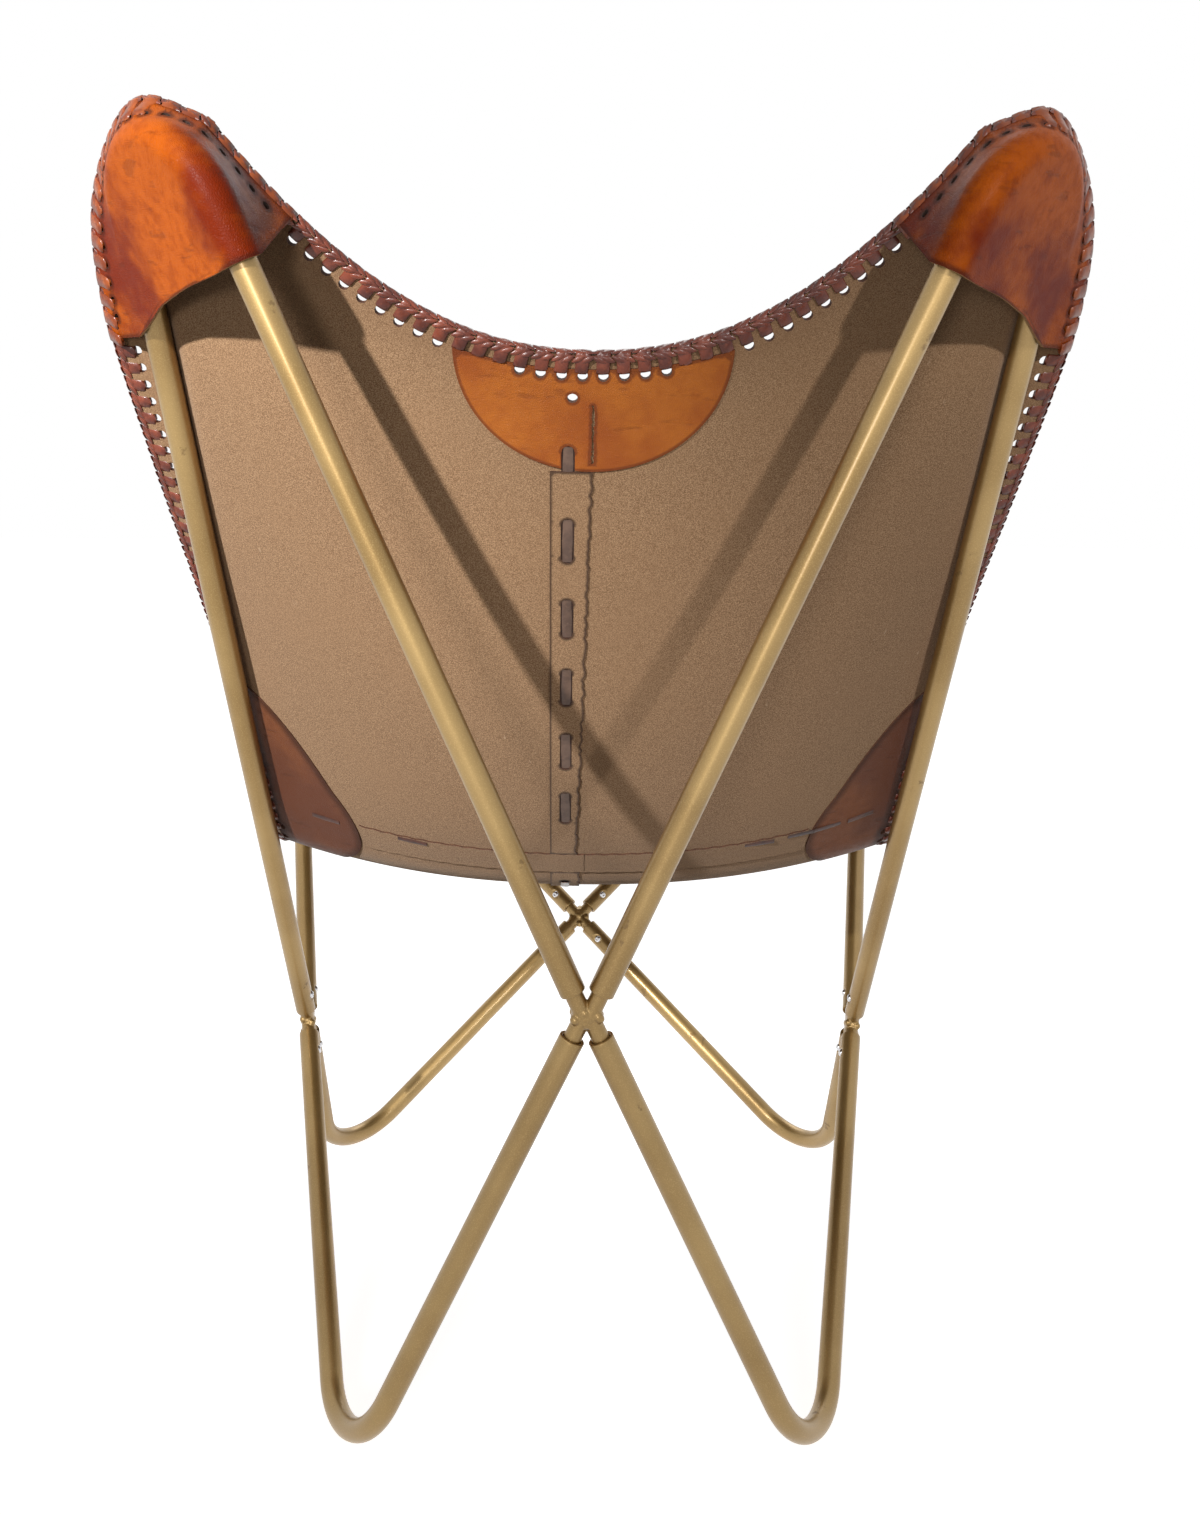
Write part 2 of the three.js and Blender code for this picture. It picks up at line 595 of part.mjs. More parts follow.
// Places on the rim: a pocket's two sides and the rest of the sling's edge
const tipShare = 0.01; // of a rib, half the gap between two bindings at a tip
const mouthShare = 0.01; // the binding stays raised this far beyond a pocket
const mouthRibs = 0.08;
const backTipMiddle = BACK_TIP_RIB / 2;
const frontTipMiddle = (LAST_RIB + FRONT_TIP_RIB) / 2;
const flip = (path) => path.map(([u, v]) => [-u, v]).reverse();
const rimAt = (v) => [1, v];
const outerColumns = (share) => COLUMN_SHARES.filter((u) => u >= share);
const sidePlaces = [...backPlaces, ...seatPlaces.slice(1)];
const pocketRims = {
  back: {
    side: [BACK_POCKET_SIDE_RIB, ...sidePlaces.filter((v) => v >= BACK_TIP_RIB
      && v < BACK_POCKET_SIDE_RIB).reverse()].map(rimAt),
    edge: [...outerColumns(BACK_POCKET_EDGE_SHARE).map((u) => [u, 0]), [1, backTipMiddle], [1, BACK_TIP_RIB]],
  },
  front: {
    side: [FRONT_POCKET_SIDE_RIB, ...sidePlaces.filter((v) => v <= FRONT_TIP_RIB
      && v > FRONT_POCKET_SIDE_RIB)].map(rimAt),
    edge: [...outerColumns(FRONT_POCKET_EDGE_SHARE).map((u) => [u, LAST_RIB]),
      [1, frontTipMiddle], [1, FRONT_TIP_RIB]],
  },
};
const onBackPocket = (u, v) => v <= BACK_POCKET_SIDE_RIB + mouthRibs
  && u >= BACK_POCKET_EDGE_SHARE - mouthShare;
const onFrontPocket = (u, v) => v >= FRONT_POCKET_SIDE_RIB - mouthRibs
  && u >= FRONT_POCKET_EDGE_SHARE - mouthShare;
const raised = (u, v) => onBackPocket(u, v) || onFrontPocket(u, v);
const edgePath = (share, v, tip) => [
  ...COLUMN_SHARES.filter((u) => u < share - 2 * mouthShare).map((u) => [u, v]),
  [share - mouthShare, v], ...outerColumns(share).map((u) => [u, v]),
  [1, v > 0 ? frontTipMiddle : backTipMiddle], [1, tip]];
const backEdge = edgePath(BACK_POCKET_EDGE_SHARE, 0, BACK_TIP_RIB - tipShare);
const frontEdge = edgePath(FRONT_POCKET_EDGE_SHARE, LAST_RIB, FRONT_TIP_RIB + tipShare);
const sideEdge = [
  BACK_TIP_RIB + tipShare, ...sidePlaces.filter((v) => v > BACK_TIP_RIB && v < BACK_POCKET_SIDE_RIB),
  BACK_POCKET_SIDE_RIB, BACK_POCKET_SIDE_RIB + mouthRibs,
  ...sidePlaces.filter((v) => v > BACK_POCKET_SIDE_RIB + 2 * mouthRibs
    && v < FRONT_POCKET_SIDE_RIB - 2 * mouthRibs),
  FRONT_POCKET_SIDE_RIB - mouthRibs, FRONT_POCKET_SIDE_RIB,
  ...sidePlaces.filter((v) => v > FRONT_POCKET_SIDE_RIB && v < FRONT_TIP_RIB),
  FRONT_TIP_RIB - tipShare].map(rimAt);

// Pocket: flat on the panel along the rim, then wrapped over the bent wing tube
const wrapRadius = TUBE_RADIUS + POCKET_SLACK + POCKET_LEATHER / 2;
function pocketHalf(station, { curve, inside, middle }) {
  const back = inside.clone().negate();
  const lift = LEATHER / 2 + POCKET_GAP + POCKET_LEATHER / 2;
  const rim = station.point.clone().addScaledVector(station.normal, lift);
  const band = rim.clone().addScaledVector(station.inward, POCKET_BAND);
  const { spot, direction } = curve.nearest(station.point);
  const outward = spot.clone().sub(middle);
  outward.addScaledVector(back, -outward.dot(back));
  outward.addScaledVector(direction, -outward.dot(direction)).normalize();
  const reach = band.clone().sub(spot);
  const height = reach.dot(back);
  const width = reach.dot(outward);
  const distance = Math.max(Math.hypot(height, width), wrapRadius);
  const start = Math.min(Math.atan2(height, width) + Math.acos(wrapRadius / distance),
      POCKET_LAST_START);
  const points = [rim, band];
  for (let i = 0; i <= POCKET_WRAP_STEPS; i++) {
    const angle = THREE.MathUtils.lerp(start, Math.PI / 2, i / POCKET_WRAP_STEPS);
    points.push(spot.clone().addScaledVector(outward, wrapRadius * Math.cos(angle))
      .addScaledVector(back, wrapRadius * Math.sin(angle)));
  }
  return points;
}

function pocketRows(wing) {
  const { side, edge } = pocketRims[wing.end];
  const count = Math.max(side.length, edge.length);
  const spread = (path) => {
    const halves = rimStations(path).map((station) => pocketHalf(station, wing));
    return Array.from({ length: count }, (_, i) =>
      halves[Math.round((i * (path.length - 1)) / (count - 1))]);
  };
  const others = spread(edge);
  return spread(side).map((half, i) =>
    [...half, ...[...(i === count - 1 ? half : others[i])].reverse()]);
}

// Whatever would touch the bindings, grown by the gap, is cut out of them
let keepOut = grown.add(seatPanel).add(otherSide(seatPanel));
for (const wing of wingPlanes) {
  const rows = pocketRows(wing);
  const body = sheet(rows, POCKET_LEATHER).subtract(grown);
  addPair(`pocket_${wing.end}`, body);
  const clear = sheet(rows, POCKET_LEATHER + 2 * GAP).add(body);
  keepOut = keepOut.add(clear).add(otherSide(clear));
}
const wholeEdge = (edge) => braid([...flip(edge).slice(0, -1), ...edge]).subtract(keepOut);
addPiece("edge_braid_back", fromManifold(wholeEdge(backEdge)), "lace");
addPiece("edge_braid_front", fromManifold(wholeEdge(frontEdge)), "lace");
addPair("edge_braid", braid(sideEdge).subtract(keepOut));

// Rib number at a distance along the middle line from the top edge
const middleLengths = [0];
const FINE_RIBS = 20;
for (let i = 1; i <= FINE_RIBS * LAST_RIB; i++) {
  middleLengths.push(middleLengths[i - 1]
    + surface(0, i / FINE_RIBS).distanceTo(surface(0, (i - 1) / FINE_RIBS)));
}
function ribAt(distance) {
  let i = 1;
  while (i < middleLengths.length - 1 && middleLengths[i] < distance) i++;
  const share = (distance - middleLengths[i - 1]) / (middleLengths[i] - middleLengths[i - 1]);
  return (i - 1 + share) / FINE_RIBS;
}
const seamDistance = middleLengths[FINE_RIBS * SEAM_RIB];
const slingDistance = middleLengths[FINE_RIBS * LAST_RIB];
const shareOf = (x, v) => x / rimCurve.getPoint(v / LAST_RIB).x;

// Trim is cut from one layer that lies on the outside of the panels
const layer = sheet(wholeRows, STRIP_LEATHER, LEATHER / 2 + GAP + STRIP_LEATHER / 2);
const trim = (rows) => layer.intersect(
  sheet(rows.map((row) => row.map(([u, v]) => surface(u, v))), CUTTER_DEPTH));
const bandEdge = BRAID_REACH + BRAID_THICKNESS;

// Half-oval patch in the middle of the top edge
const quarterTurns = (from, to, count) => places(from, to, count).map((i) => (i * Math.PI) / 2);
const centrePatch = quarterTurns(0, 1 - 1 / (2 * PATCH_STEPS), PATCH_STEPS).map((angle) => {
  const v = ribAt(THREE.MathUtils.lerp(bandEdge, CENTRE_PATCH_DEPTH, Math.sin(angle)));
  const half = shareOf(CENTRE_PATCH_HALF_WIDTH * Math.cos(angle), v);
  return run([-half, v], [half, v], PATCH_STEPS);
});
addPiece("patch_back_centre", fromManifold(trim(centrePatch)), "leather");

// Middle strips over the back seam and the seat seam
const stripHalf = STRIP_WIDTH / 2;
const flapHalf = FLAP_WIDTH / 2;
const strip = (from, to) => places(from, to, TRIM_STEPS).map((distance) => {
  const v = ribAt(distance);
  return run([shareOf(STRIP_SIDE - stripHalf, v), v], [shareOf(STRIP_SIDE + stripHalf, v), v],
    STRIP_COLUMNS);
});
addPiece("seam_strip_back", fromManifold(
  trim(strip(CENTRE_PATCH_DEPTH + GAP, seamDistance - flapHalf - GAP))), "suede");
addPiece("seam_strip_seat", fromManifold(
  trim(strip(seamDistance + flapHalf + GAP, slingDistance - bandEdge))), "suede");

// Half-oval patches where the cross seam meets the side rims, and the flap between them
const sidePatch = quarterTurns(-1 + 1 / (2 * PATCH_STEPS), 1 - 1 / (2 * PATCH_STEPS), 2 * PATCH_STEPS)
  .map((angle) => {
    const v = SEAM_RIB + SIDE_PATCH_RIBS * Math.sin(angle);
    const outer = 1 - shareOf(bandEdge, v);
    const inner = outer - shareOf(SIDE_PATCH_WIDTH * Math.cos(angle), v);
    return run([inner, v], [outer, v], SIDE_PATCH_COLUMNS);
  });
addPair("patch_side", trim(sidePatch));
const flapEnd = 1 - shareOf(bandEdge + SIDE_PATCH_WIDTH + 2 * GAP, SEAM_RIB);
const flapRows = [-flapHalf, 0, flapHalf].map((offset) =>
  run([shareOf(GAP, SEAM_RIB), ribAt(seamDistance + offset)],
    [flapEnd, ribAt(seamDistance + offset)], TRIM_STEPS));
addPair("seam_flap", trim(flapRows));

export default chair;
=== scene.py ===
import math

import bpy
import numpy as np
from mathutils import Matrix, Vector
from mathutils.geometry import delaunay_2d_cdt


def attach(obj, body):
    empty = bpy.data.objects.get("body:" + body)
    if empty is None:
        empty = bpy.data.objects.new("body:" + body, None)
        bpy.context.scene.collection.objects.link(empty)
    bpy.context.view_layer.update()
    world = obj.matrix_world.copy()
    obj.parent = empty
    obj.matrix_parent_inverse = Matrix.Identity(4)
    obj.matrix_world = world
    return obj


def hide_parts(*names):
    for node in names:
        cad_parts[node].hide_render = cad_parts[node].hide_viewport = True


# Butterfly sling chair: bent bronze tubes, welded crosses and a laced leather sling.
# Lengths are millimetres until a piece is made, +Z up, the sitter faces -Y.

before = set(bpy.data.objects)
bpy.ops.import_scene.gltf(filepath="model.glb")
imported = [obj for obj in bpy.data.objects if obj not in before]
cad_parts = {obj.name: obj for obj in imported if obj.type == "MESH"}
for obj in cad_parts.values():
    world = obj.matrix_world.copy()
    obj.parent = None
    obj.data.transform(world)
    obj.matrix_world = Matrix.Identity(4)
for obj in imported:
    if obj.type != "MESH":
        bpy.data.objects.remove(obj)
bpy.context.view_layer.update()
MM = 0.001
BODY = "root"
SIDES = {"left": 1, "right": -1}

# Frame: where the straight runs of the tubes would meet, for the +X side
FOOT_BACK = (169, 373)
FOOT_FRONT = (245.5, -96)
SIDE_CROSS = np.array([245.5, 16, 180.0])
BACK_UPPER_MEET = np.array([0, 393, 338.0])
BACK_LOWER_MEET = np.array([0, 393, 347.0])
BACK_MEET = np.array([0, 393, 343.0])
FRONT_MEET = np.array([0, -263, 184.0])
WING_BACK = np.array([287.5, 437, 1013.0])
WING_FRONT = np.array([336, -489, 473.5])
TUBE_RADIUS = 8.5
BORE_RADIUS = 6.3
FOOT_BEND_RADIUS = 61
WING_BEND_RADIUS = 54.5
FOOT_FLAT_DEPTH = 0.4
END_SETBACK = 15
BACK_UPPER_SETBACK = 23
BACK_LOWER_SETBACK = 22
STUB_RADIUS = 6.0
STUB_INSERT = 38
SCREW_FROM_END = 19

# Sling
SEAT_HEIGHT = 333
WAIST_Y = 45
BACK_RIB_SHARES = [
    (0.765, 0.901, 0.803, 0.778, 0.621), (0.894, 0.875, 0.821, 0.77, 0.609),
    (0.984, 0.804, 0.801, 0.76, 0.593), (1.059, 0.722, 0.749, 0.74, 0.563),
    (1.077, 0.658, 0.669, 0.712, 0.519), (1.037, 0.515, 0.522, 0.633, 0.4),
    (0.97, 0.352, 0.343, 0.508, 0.246), (0.911, 0.212, 0.169, 0.367, 0.113),
    (0.899, 0.151, 0.103, 0.286, 0.056), (0.897, 0.089, 0.062, 0.227, 0.025),
]
FRONT_RIB_SHARES = [
    (0.78, 0.103, 0.192, -0.009, 0), (0.836, 0.356, 0.256, 0.281, 0.05),
    (0.938, 0.609, 0.42, 0.545, 0.157), (0.994, 0.76, 0.598, 0.669, 0.231),
    (0.982, 0.826, 0.669, 0.697, 0.249), (0.94, 0.867, 0.712, 0.712, 0.26),
    (0.875, 0.89, 0.719, 0.721, 0.266), (0.72, 0.895, 0.584, 0.73, 0.274),
]
RIB_POWER = 2.2
SEAM_RIB = 8
BACK_TIP_RIB = 1
FRONT_TIP_RIB = 16
LAST_RIB = 17
LEATHER = 3
DRAPE_RADIUS = 26
DRAPE_BLEND = 3
TUBE_CLEARANCE = TUBE_RADIUS + 0.5 + LEATHER / 2
SEAM_HALF_GAP = 0.0206897  # on the cutting table; the leather edges nearly touch
SEAM_RIB_GAP = 0.008  # left free on each side of the cross seam, in ribs
CUT_WIDTH = 300  # width of half a panel on the cutting table

# Pockets, lacing and trim
POCKET_LEATHER = 2.4
POCKET_BAND = 14
POCKET_GAP = 0.7
POCKET_WRAP_RADIUS = TUBE_RADIUS + 2.4 + POCKET_LEATHER / 2
POCKET_LAST_START = 1.5
POCKET_BAND_SHARE = 0.8  # the band takes up no more than this share of the way to the tube
BACK_MOUTH = {"rib": 4.25, "share": 0.8, "on_tube": (275, 232)}
FRONT_MOUTH = {"rib": 11.85, "share": 0.78, "on_tube": (225, 205)}
RIB_MARGIN = 0.05  # lacing this near to a mouth still lies over the pocket
SHARE_MARGIN = 0.005
POCKET_LIFT = LEATHER / 2 + POCKET_GAP + POCKET_LEATHER / 2
LACE_PITCH = 12.3
HOLE_IN = 13.4  # rim to the middle of a lace hole
HOLE_RADIUS = 3.3
POCKET_HOLE_RADIUS = 2.7
HOLE_SIDES = 12
TRIM_LEATHER = 1.2
TRIM_LIFT = LEATHER / 2 + 0.1 + TRIM_LEATHER / 2
TRIM_TOP = TRIM_LIFT + TRIM_LEATHER / 2
TRIM_IN = 9  # the patches start under the lacing
STRIP_SIDE = 15
STRIP_WIDTH = 23
FLAP_ABOVE = 19
FLAP_BELOW = 7
CENTRE_PATCH_HALF_WIDTH = 86
CENTRE_PATCH_DEPTH = 76
SIDE_PATCH_RIBS = 1.65
SIDE_PATCH_WIDTH = 72


def lerp(a, b, share):
    return a + (b - a) * share


def unit(v):
    return v / np.maximum(np.linalg.norm(v, axis=-1, keepdims=True), 1e-12)


def dot(a, b):
    return (a * b).sum(-1)


def gap_to(points, others, part=2000):
    """Distance from each point to the closest of the others, worked out in parts."""
    gaps = [np.linalg.norm(points[s:s + part, None] - others[None], axis=-1).min(1)
            for s in range(0, len(points), part)]
    return np.concatenate([np.empty(0), *gaps])


def run_lengths(points):
    """Distance along a line of points from its first point to each."""
    return np.concatenate([[0], np.cumsum(np.linalg.norm(np.diff(points, axis=0), axis=1))])


def ring_angles(count):
    return np.arange(count) * math.tau / count


def spokes(count, x, y):
    """Directions all the way round from x over y, for many pairs of them."""
    angles = ring_angles(count)[:, None]
    return np.cos(angles) * x[..., None, :] + np.sin(angles) * y[..., None, :]


def flip_to(sign):
    """Factor that carries the +X half to the half with this sign."""
    return np.array([sign, 1, 1.0])


# Shapes of the frame and the sling


class BentRod:
    """Centre line of a bent tube: a straight run, a round bend and a straight run."""

    def __init__(self, first, first_setback, corner, last, last_setback, radius):
        self.corner = corner
        self.meets = (first, last)
        self.start = first + unit(corner - first) * first_setback
        self.end = last + unit(corner - last) * last_setback
        to_start, to_end = unit(first - corner), unit(last - corner)
        half = math.acos(float(dot(to_start, to_end))) / 2
        self.radius = radius
        self.centre = corner + unit(to_start + to_end) * radius / math.sin(half)
        self.bend_start = corner + to_start * radius / math.tan(half)
        self.bend_end = corner + to_end * radius / math.tan(half)
        self.spoke = unit(self.bend_start - self.centre)
        self.axis = unit(np.cross(to_end, to_start))
        self.quarter = np.cross(self.axis, self.spoke)
        self.turn = math.pi - 2 * half
        self.straights = (
            np.linalg.norm(self.bend_start - self.start),
            np.linalg.norm(self.end - self.bend_end),
        )
        self.length = sum(self.straights) + radius * self.turn

    def on_bend(self, angle):
        angle = np.asarray(angle)[..., None]
        point = self.centre + self.radius * (np.cos(angle) * self.spoke + np.sin(angle) * self.quarter)
        return point, np.cos(angle) * self.quarter - np.sin(angle) * self.spoke

    def at(self, distance):
        """Point and direction at distances along the rod."""
        distance = np.asarray(distance, float)
        first = self.straights[0]
        bent = self.radius * self.turn
        ahead = -unit(self.start - self.bend_start)
        point, direction = self.on_bend(np.clip((distance - first) / self.radius, 0, self.turn))
        before = np.minimum(distance - first, 0)[..., None]
        after = np.maximum(distance - first - bent, 0)[..., None]
        return point + before * ahead + after * unit(self.end - self.bend_end), direction

    def nearest(self, p):
        """Closest point of the centre line and the direction there, for many points."""
        spots, directions = [], []
        for a, b in ((self.start, self.bend_start), (self.bend_end, self.end)):
            run = b - a
            share = np.clip(dot(p - a, run) / dot(run, run), 0, 1)[..., None]
            spots.append(a + share * run)
            directions.append(np.broadcast_to(unit(run), p.shape))
        reach = p - self.centre
        angle = np.arctan2(dot(reach, self.quarter), dot(reach, self.spoke))
        angle = np.where(angle < self.turn / 2 - math.pi, angle + 2 * math.pi, angle)
        spot, direction = self.on_bend(np.clip(angle, 0, self.turn))
        spots.append(spot)
        directions.append(direction)
        gaps = np.stack([np.linalg.norm(p - s, axis=-1) for s in spots])
        best = gaps.argmin(0)[None, ..., None]
        return tuple(np.take_along_axis(np.stack(parts), best, 0)[0] for parts in (spots, directions))


def foot_rod(place, last, last_setback):
    """The corner is lowered until the tube's underside is the flat's depth below the floor."""
    corner = np.array([*place, 0.0])
    for _ in range(30):
        rod = BentRod(SIDE_CROSS, END_SETBACK, corner, last, last_setback, FOOT_BEND_RADIUS)
        angles = np.linspace(0, rod.turn, 200)
        lowest = rod.on_bend(angles)[0][:, 2].min()
        corner = corner - np.array([0, 0, lowest - TUBE_RADIUS + FOOT_FLAT_DEPTH])
    return rod


RODS = {
    "foot_tube_back": foot_rod(FOOT_BACK, BACK_LOWER_MEET, BACK_LOWER_SETBACK),
    "foot_tube_front": foot_rod(FOOT_FRONT, FRONT_MEET, END_SETBACK),
    "wing_tube_back": BentRod(SIDE_CROSS, END_SETBACK, WING_BACK, BACK_UPPER_MEET,
                              BACK_UPPER_SETBACK, WING_BEND_RADIUS),
    "wing_tube_front": BentRod(SIDE_CROSS, END_SETBACK, WING_FRONT, FRONT_MEET,
                               END_SETBACK, WING_BEND_RADIUS),
}


class Wing:
    """A wing tube with the direction from its plane to the sitter."""

    def __init__(self, rod, corner, sitter_axis, sign):
        self.rod = rod
        inside = unit(np.cross(SIDE_CROSS - corner, rod.meets[1] - corner))
        self.inside = inside if np.sign(inside[sitter_axis]) == sign else -inside
        self.middle = (corner + SIDE_CROSS + rod.meets[1]) / 3


WINGS = {
    "back": Wing(RODS["wing_tube_back"], WING_BACK, 1, -1),
    "front": Wing(RODS["wing_tube_front"], WING_FRONT, 2, 1),
}


def rib_points(pick):
    rows = [(pick(rib), WING_BACK) for rib in BACK_RIB_SHARES]
    rows += [(pick(rib), WING_FRONT) for rib in FRONT_RIB_SHARES]
    return np.array([
        (side * corner[0], lerp(WAIST_Y, corner[1], depth), lerp(SEAT_HEIGHT, corner[2], height))
        for (side, depth, height), corner in rows])


RIM_POINTS = rib_points(lambda rib: rib[:3])
MIDDLE_POINTS = rib_points(lambda rib: (0, *rib[3:]))


def rib_curve(points, v):
    """Centripetal Catmull-Rom line through the rib points, v counts ribs."""
    padded = np.vstack([2 * points[0] - points[1], points, 2 * points[-1] - points[-2]])
    i = np.clip(np.floor(v).astype(int), 0, len(points) - 2)
    t = (v - i)[..., None]
    p0, p1, p2, p3 = (padded[i + k] for k in range(4))
    d0, d1, d2 = (np.linalg.norm(b - a, axis=-1, keepdims=True) ** 0.5
                  for a, b in ((p0, p1), (p1, p2), (p2, p3)))
    t1 = ((p1 - p0) / d0 - (p2 - p0) / (d0 + d1) + (p2 - p1) / d1) * d1
    t2 = ((p2 - p1) / d1 - (p3 - p1) / (d1 + d2) + (p3 - p2) / d2) * d1
    return p1 + t1 * t + (3 * (p2 - p1) - 2 * t1 - t2) * t**2 + (2 * (p1 - p2) + t1 + t2) * t**3


def surface(u, v):
    """Middle layer of the sling: u runs from the middle (0) to a rim (1 or -1)."""
    u, v = np.broadcast_arrays(np.asarray(u, float), np.asarray(v, float))
    across = np.abs(u)
    rim, middle = rib_curve(RIM_POINTS, v), rib_curve(MIDDLE_POINTS, v)
    climb = (across**RIB_POWER)[..., None]
    p = lerp(middle, rim, climb)
    p[..., 0] = across * rim[..., 0]
    for wing in WINGS.values():
        offset = p - wing.rod.nearest(p)[0]
        height = dot(offset, wing.inside)
        sideways = dot(offset, offset) - height**2
        short = TUBE_CLEARANCE - sideways / (2 * DRAPE_RADIUS) - height
        p = p + wing.inside * ((short + np.hypot(short, DRAPE_BLEND)) / 2)[..., None]
    p[..., 0] = np.where(u < 0, -p[..., 0], p[..., 0])
    return p


STEP = 1e-3


def slopes(u, v):
    u0, u1 = np.maximum(u - STEP, -1), np.minimum(u + STEP, 1)
    v0, v1 = np.maximum(v - STEP, 0), np.minimum(v + STEP, LAST_RIB)
    du = (surface(u1, v) - surface(u0, v)) / (u1 - u0)[..., None]
    dv = (surface(u, v1) - surface(u, v0)) / (v1 - v0)[..., None]
    return du, dv


def outside(u, v):
    """Unit normal behind and under the sitter."""
    du, dv = slopes(u, v)
    return unit(np.cross(du, dv))


def settle(target, u, v):
    """Shares and ribs of the sling's points closest to the targets."""
    u, v = np.array(u, float), np.array(v, float)
    for _ in range(12):
        du, dv = slopes(u, v)
        gap = target - surface(u, v)
        a, b, c = dot(du, du), dot(du, dv), dot(dv, dv)
        e, f = dot(du, gap), dot(dv, gap)
        det = np.maximum(a * c - b * b, 1e-6)
        u = np.clip(u + (e * c - f * b) / det, -1, 1)
        v = np.clip(v + (a * f - b * e) / det, 0, LAST_RIB)
    return u, v


# Distances down the middle of the sling, from the top edge
FINE_RIBS = np.linspace(0, LAST_RIB, 40 * LAST_RIB + 1)
DISTANCES = run_lengths(surface(0 * FINE_RIBS, FINE_RIBS))
SLING_LENGTH = DISTANCES[-1]


def rib_at(distance):
    return np.interp(distance, DISTANCES, FINE_RIBS)


def distance_at(v):
    return np.interp(v, FINE_RIBS, DISTANCES)


SEAM_DISTANCE = float(distance_at(SEAM_RIB))


def to_table(u, v):
    """Place on the cutting table: shares and ribs as flat millimetres."""
    return np.stack([np.asarray(u) * CUT_WIDTH, distance_at(v)], -1)


def from_table(flat):
    return np.clip(flat[..., 0] / CUT_WIDTH, -1, 1), rib_at(flat[..., 1])


def side_to_table(side, distance):
    """Table place of a real distance sideways from the middle line."""
    side, distance = np.broadcast_arrays(np.asarray(side, float), np.asarray(distance, float))
    return np.stack([side / rib_curve(RIM_POINTS, rib_at(distance))[..., 0] * CUT_WIDTH, distance], -1)


# Meshes

# Net of points for cut sheets, in shares of its step
NET_ROW = 0.87
EDGE_FREE = 0.45  # no points this near to the outline
HOLE_FREE = 0.4  # no points this near to a hole


def piece_from(name, points, faces, finishes, slots=None, sharp=40, **values):
    """Blender object at the origin from millimetre points, with one number a point per value."""
    mesh = bpy.data.meshes.new(name)
    mesh.from_pydata([tuple(p) for p in np.asarray(points) * MM], [], [tuple(map(int, f)) for f in faces])
    for finish in finishes:
        mesh.materials.append(finish)
    if slots is not None:
        mesh.polygons.foreach_set("material_index", np.asarray(slots, np.int32))
    for key, numbers in values.items():
        layer = mesh.attributes.new(key, "FLOAT", "POINT")
        layer.data.foreach_set("value", np.asarray(numbers, np.float32))
    mesh.polygons.foreach_set("use_smooth", np.ones(len(mesh.polygons), bool))
    mesh.set_sharp_from_angle(angle=math.radians(sharp))
    mesh.update()
    piece = bpy.data.objects.new(name, mesh)
    bpy.context.scene.collection.objects.link(piece)
    return piece


def place(piece, slot, *nodes):
    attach(piece, BODY)
    if nodes:
        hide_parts(*nodes)
    return piece


def mirrored(points, faces):
    return points * flip_to(-1), [tuple(reversed(f)) for f in faces]


def grid_faces(rows, columns, closed=False):
    """Quads of a grid of points; closed joins the last column to the first."""
    faces = []
    for i in range(rows - 1):
        for j in range(columns if closed else columns - 1):
            k = (j + 1) % columns
            faces.append((i * columns + j, i * columns + k, (i + 1) * columns + k, (i + 1) * columns + j))
    return faces


def weld(points, faces):
    """Merges points that share a place and drops the faces that close up."""
    _, first, where = np.unique(np.round(points, 3), axis=0, return_index=True, return_inverse=True)
    where = where.ravel()
    kept = []
    for face in faces:
        corners = list(dict.fromkeys(int(where[i]) for i in face))
        if len(corners) > 2:
            kept.append(tuple(corners))
    return points[first], kept


def point_normals(points, faces):
    normals = np.zeros_like(points)
    for face in faces:
        a, b, c = points[face[0]], points[face[1]], points[face[-1]]
        normal = np.cross(b - a, c - a)
        for corner in face:
            normals[corner] += normal
    return unit(normals)


def open_edges(faces):
    edges = {(a, b) for f in faces for a, b in zip(f, (*f[1:], f[0]))}
    return [(a, b) for a, b in edges if (b, a) not in edges]


def thicken(points, faces, thickness, lift=0.0):
    """Closed sheet round a middle layer: points, faces, and 0, 1, 2 for outside, inside, cut edge."""
    normals = point_normals(points, faces)
    count = len(points)
    layers = np.vstack([points + normals * (lift + thickness / 2), points + normals * (lift - thickness / 2)])
    below = [tuple(i + count for i in reversed(f)) for f in faces]
    walls = [(b, a, a + count, b + count) for a, b in open_edges(faces)]
    slots = [0] * len(faces) + [1] * len(below) + [2] * len(walls)
    return layers, [*faces, *below, *walls], slots


def within(points, outline):
    """Which flat points lie inside a closed outline."""
    a, b = outline, np.roll(outline, -1, 0)
    x, y = points[:, :1], points[:, 1:]
    crosses = (a[:, 1] > y) != (b[:, 1] > y)
    rise = np.where(b[:, 1] == a[:, 1], 1, b[:, 1] - a[:, 1])
    return ((x < a[:, 0] + (y - a[:, 1]) * (b[:, 0] - a[:, 0]) / rise) & crosses).sum(1) % 2 == 1


